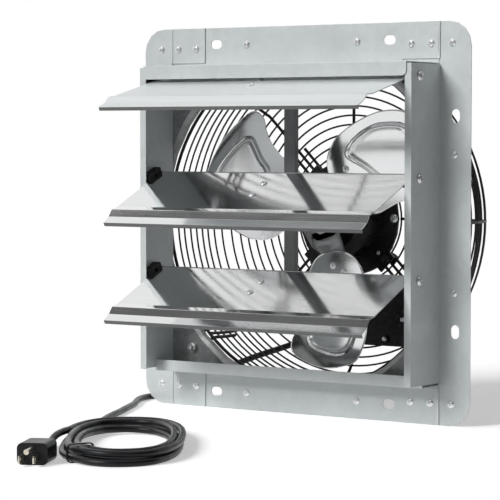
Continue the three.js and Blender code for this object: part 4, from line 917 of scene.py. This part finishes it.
def cross_head(scale):
    """A pan head with a cross recess."""
    head_mesh = bpy.data.meshes.new("head")
    head = lathed([(distance * scale, height * scale) for distance, height in SCREW_PROFILE], ROUND_STEPS)
    head.to_mesh(head_mesh)
    head.free()
    reach, half, base = CROSS_REACH * scale, CROSS_HALF * scale, CROSS_FLOOR * scale
    cutter = combined(block((-reach, -half, base), (reach, half, CROSS_TOP)),
                      block((-half, -reach, base), (half, reach, CROSS_TOP)))
    cutter_mesh = bpy.data.meshes.new("cutter")
    cutter.to_mesh(cutter_mesh)
    cutter.free()
    holder = bpy.data.objects.new("head", head_mesh)
    tool = bpy.data.objects.new("cutter", cutter_mesh)
    for made in (holder, tool):
        scene.collection.objects.link(made)
    modified(holder, "BOOLEAN", operation="DIFFERENCE", object=tool, solver="EXACT", use_self=True)
    shape = bmesh.new()
    shape.from_object(holder, bpy.context.evaluated_depsgraph_get())
    for made in (holder, tool):
        bpy.data.objects.remove(made)
    return shape


WALL_FACE = 161.3
for order, level in enumerate(LEVELS):
    height = TOP_PIVOT - LOUVER_PITCH * order
    for side, sign in SIDES.items():
        seat = facing((sign * WALL_FACE, -PIVOT_DEPTH, height), (sign, 0, 0))
        piece(f"pivot_screw_head_{level}_{side}", repeated(cross_head(1), [seat]), "frame", rivet_metal,
              [f"pivot_screw_{level}_{side}"])

CORNERS = [(1, 1), (-1, 1), (1, -1), (-1, -1)]
TAB_FRONT = -1.2
TAB_RIVETS = [(151.3, 174), (128.9, 174)]
SHEET_RIVETS = [(174, 174), (66.3, 177.3), (176.5, 66.6)]
FLANGE_RIVET_SCALE = 1.5
rivet_places = [facing((x * across, depth, z * up), FORWARD)
                for depth, spots in ((TAB_FRONT, TAB_RIVETS), (0, SHEET_RIVETS))
                for across, up in spots for x, z in CORNERS]
flange_rivets = repeated(lathed(rivet_profile(FLANGE_RIVET_SCALE), SMALL_STEPS), rivet_places)
piece("flange_rivets", flange_rivets, "frame", rivet_metal)

# Thin strips on the tabs' bend lines: the left one in dark steel is a painted shadow of the joggle, and the
# right one in bright rivet metal is a painted highlight on its edge.
TAB_BEND_PAINTED_LIGHT = {"left": (-158.5, link_steel_painted_shade), "right": (159.5, rivet_metal)}
SEAM_ENDS = (158, 193.6)
SEAM_HALF = 0.35
SEAM_DEPTHS = (TAB_FRONT - 0.12, TAB_FRONT + 0.2)
SEAM_ROUND = 0.1
for side, (x, finish) in TAB_BEND_PAINTED_LIGHT.items():
    strips = []
    for low, high in (SEAM_ENDS, (-SEAM_ENDS[1], -SEAM_ENDS[0])):
        strips.append(block((x - SEAM_HALF, SEAM_DEPTHS[0], low), (x + SEAM_HALF, SEAM_DEPTHS[1], high),
                            SEAM_ROUND))
    piece(f"tab_bend_painted_lines_{side}", combined(*strips), "frame", finish)

NUT_RADIUS = 4.6
NUT_HEIGHT = 3.6
NUT_ROUND = 0.35
WASHER_HEIGHT = 1.2
WASHER_ROUND = 0.3
BOLT_TIP_ROUND = 0.5


def hex_nut(start):
    """A hexagon with rounded edges, from a height upwards."""
    nut = bmesh.new()
    bmesh.ops.create_circle(nut, cap_ends=True, segments=6, radius=NUT_RADIUS * MM,
                            matrix=Matrix.Translation((0, 0, start * MM)))
    grown = bmesh.ops.extrude_face_region(nut, geom=nut.faces[:])["geom"]
    bmesh.ops.translate(nut, vec=(0, 0, NUT_HEIGHT * MM),
                        verts=[part for part in grown if isinstance(part, bmesh.types.BMVert)])
    bmesh.ops.recalc_face_normals(nut, faces=nut.faces)
    bmesh.ops.bevel(nut, geom=nut.edges, offset=NUT_ROUND * MM, affect="EDGES", segments=2, profile=0.5,
                    material=-1)
    return nut


def hex_bolt(radius, tip, nut_at, head_at, washer):
    """A bolt with its nut, head and washer, along Z, with heights as depths of the box."""
    shank = lathed([(0, tip), (radius, tip + BOLT_TIP_ROUND), (radius, head_at), (0, head_at)], SMALL_STEPS)
    under, inner = head_at - WASHER_HEIGHT, washer - WASHER_ROUND
    disc = lathed([(radius, under), (inner, under), (washer, under + WASHER_ROUND),
                   (washer, head_at - WASHER_ROUND), (inner, head_at), (radius, head_at)], ROUND_STEPS)
    return combined(shank, hex_nut(nut_at), hex_nut(head_at), disc)


RAIL_BOLT_REACH = 61.5
RAIL_BOLT_SIDE = 3.7
to_depth = facing((0, 0, 0), (0, 1, 0))
lug_reach = LUG_DISTANCE * math.sqrt(0.5)
for number, (x, z) in enumerate(CORNERS, start=1):
    place = Matrix.Translation((x * lug_reach * MM, 0, z * lug_reach * MM)) @ to_depth
    bolt = repeated(hex_bolt(radius=2.4, tip=-7, nut_at=-2.6, head_at=7.6, washer=8), [place])
    piece(f"corner_bolt_{number}", bolt, "frame", zinc, [f"guard_bolt_{number}"])
for number, angle in enumerate(diagonals, start=1):
    x = RAIL_BOLT_REACH * math.cos(angle) - RAIL_BOLT_SIDE * math.sin(angle)
    z = RAIL_BOLT_REACH * math.sin(angle) + RAIL_BOLT_SIDE * math.cos(angle)
    place = Matrix.Translation((x * MM, 0, z * MM)) @ to_depth
    bolt = repeated(hex_bolt(radius=1.8, tip=81.8, nut_at=85.4, head_at=102.1, washer=5.5), [place])
    piece(f"motor_bolt_{number}", bolt, "frame", black_paint, [f"bracket_bolt_{number}"])

BRACKET_FRONT = 89
BRACKET_SCREWS = [(55, 0.6, 1), (36.5, -35, 0.45)]
bracket_screws = combined(*(repeated(cross_head(scale), [facing((x, BRACKET_FRONT, z), FORWARD)])
                            for x, z, scale in BRACKET_SCREWS))
piece("bracket_screws", bracket_screws, "frame", rivet_metal)

CLAMP_CROSS_SCALE = 0.5
for number in (1, 2):
    node = nodes[f"clamp_screw_{number}"]
    node.data.materials.clear()
    node.data.materials.append(black_paint)
    corners = [node.matrix_world @ Vector(corner) / MM for corner in node.bound_box]
    low, high = (Vector(pick(corner[axis] for corner in corners) for axis in range(3)) for pick in (min, max))
    seat = facing(((low.x + high.x) / 2, low.y, (low.z + high.z) / 2), FORWARD)
    piece(f"clamp_screw_cross_{number}", repeated(cross_head(CLAMP_CROSS_SCALE), [seat]), "frame",
          rivet_metal)

# Floor, light and background

WHITE = (1, 1, 1, 1)
FLOOR_COLOUR = (0.86, 0.86, 0.86, 1)
FLOOR_SPAN = 60
FLOOR_GLOW = 0.45
ROOM_GLOW = 0.13


def blank_tree(owner):
    """An emptied node tree of a material or a world."""
    owner.use_nodes = True
    owner.node_tree.nodes.clear()
    return owner.node_tree


def seen_directly(tree):
    """1 for camera, mirror and glass rays, which see the plain white, and 0 for the rest."""
    path = put(tree, "LightPath").outputs
    either = put(tree, "Math", {"operation": "MAXIMUM"}, _0=path["Is Camera Ray"], _1=path["Is Glossy Ray"])
    return put(tree, "Math", {"operation": "MAXIMUM"}, _0=either.outputs[0],
               _1=path["Is Transmission Ray"]).outputs[0]


def stage_sheet(name, centre, normal, width, height, paint):
    """A flat sheet of the studio, with its places and sizes in metres."""
    turn = Vector(normal).to_track_quat("Z", "Y").to_matrix().to_4x4()
    size = Matrix.Diagonal((width, height, 1, 1))
    shape = bmesh.new()
    bmesh.ops.create_grid(shape, x_segments=1, y_segments=1, size=0.5)
    bmesh.ops.transform(shape, matrix=Matrix.Translation(centre) @ turn @ size, verts=shape.verts)
    mesh = bpy.data.meshes.new(name)
    shape.to_mesh(mesh)
    shape.free()
    mesh.materials.append(paint)
    made = bpy.data.objects.new(name, mesh)
    scene.collection.objects.link(made)
    return made


def card(name, centre, normal, width, height, glow):
    """A grey studio wall that the camera doesn't see, for the bright sheets to mirror."""
    cloth = bpy.data.materials.new(name)
    tree = blank_tree(cloth)
    grey = put(tree, "Emission", Color=WHITE, Strength=glow)
    put(tree, "OutputMaterial", Surface=grey.outputs[0])
    made = stage_sheet(name, centre, normal, width, height, cloth)
    made.visible_camera = False
    made.visible_shadow = False


def lamp(name, way, strength, spread):
    """A broad soft lamp, which shines along a direction."""
    made = bpy.data.objects.new(name, bpy.data.lights.new(name, "SUN"))
    made.data.energy = strength
    made.data.angle = math.radians(spread)
    made.rotation_euler = Vector(way).to_track_quat("-Z", "Y").to_euler()
    scene.collection.objects.link(made)


def white_floor():
    """A pale floor that takes shadows and shows white where nothing shades it."""
    made = bpy.data.materials.new("white_floor")
    tree = blank_tree(made)
    paint = put(tree, "BsdfDiffuse", Color=FLOOR_COLOUR)
    glow = put(tree, "Emission", Color=WHITE, Strength=times(tree, seen_directly(tree), FLOOR_GLOW))
    both = put(tree, "AddShader", _0=paint.outputs[0], _1=glow.outputs[0])
    put(tree, "OutputMaterial", Surface=both.outputs[0])
    return made


def white_room():
    """Plain white all round where it is seen, and dim where it only lights the object."""
    made = bpy.data.worlds.new("studio")
    tree = blank_tree(made)
    strength = put(tree, "MapRange", Value=seen_directly(tree), To_Min=ROOM_GLOW, To_Max=1.0)
    sky = put(tree, "Background", Color=WHITE, Strength=strength.outputs["Result"])
    put(tree, "OutputWorld", Surface=sky.outputs[0])
    return made


stage_sheet("floor", (0, 0, FLOOR * MM), (0, 0, 1), FLOOR_SPAN, FLOOR_SPAN, white_floor())
scene.world = white_room()
lamp("key_lamp", way=(0.32, 0.9, -0.6), strength=3.1, spread=24)
lamp("fill_lamp", way=(-0.6, 0.8, -0.2), strength=0.3, spread=60)
card("right_wall", centre=(2.6, 0.2, 1.7), normal=(-1, 0, 0), width=9, height=4, glow=0.04)
card("front_wall", centre=(0, -3.6, 1.2), normal=(0, 1, 0), width=9, height=2.8, glow=0.2)
card("front_ceiling", centre=(0, -2.3, 2.6), normal=(0, 0, -1), width=9, height=2.9, glow=0.14)
card("front_floor", centre=(-1.2, -1.9, -0.19), normal=(0, 0, 1), width=4, height=2.2, glow=0.1)
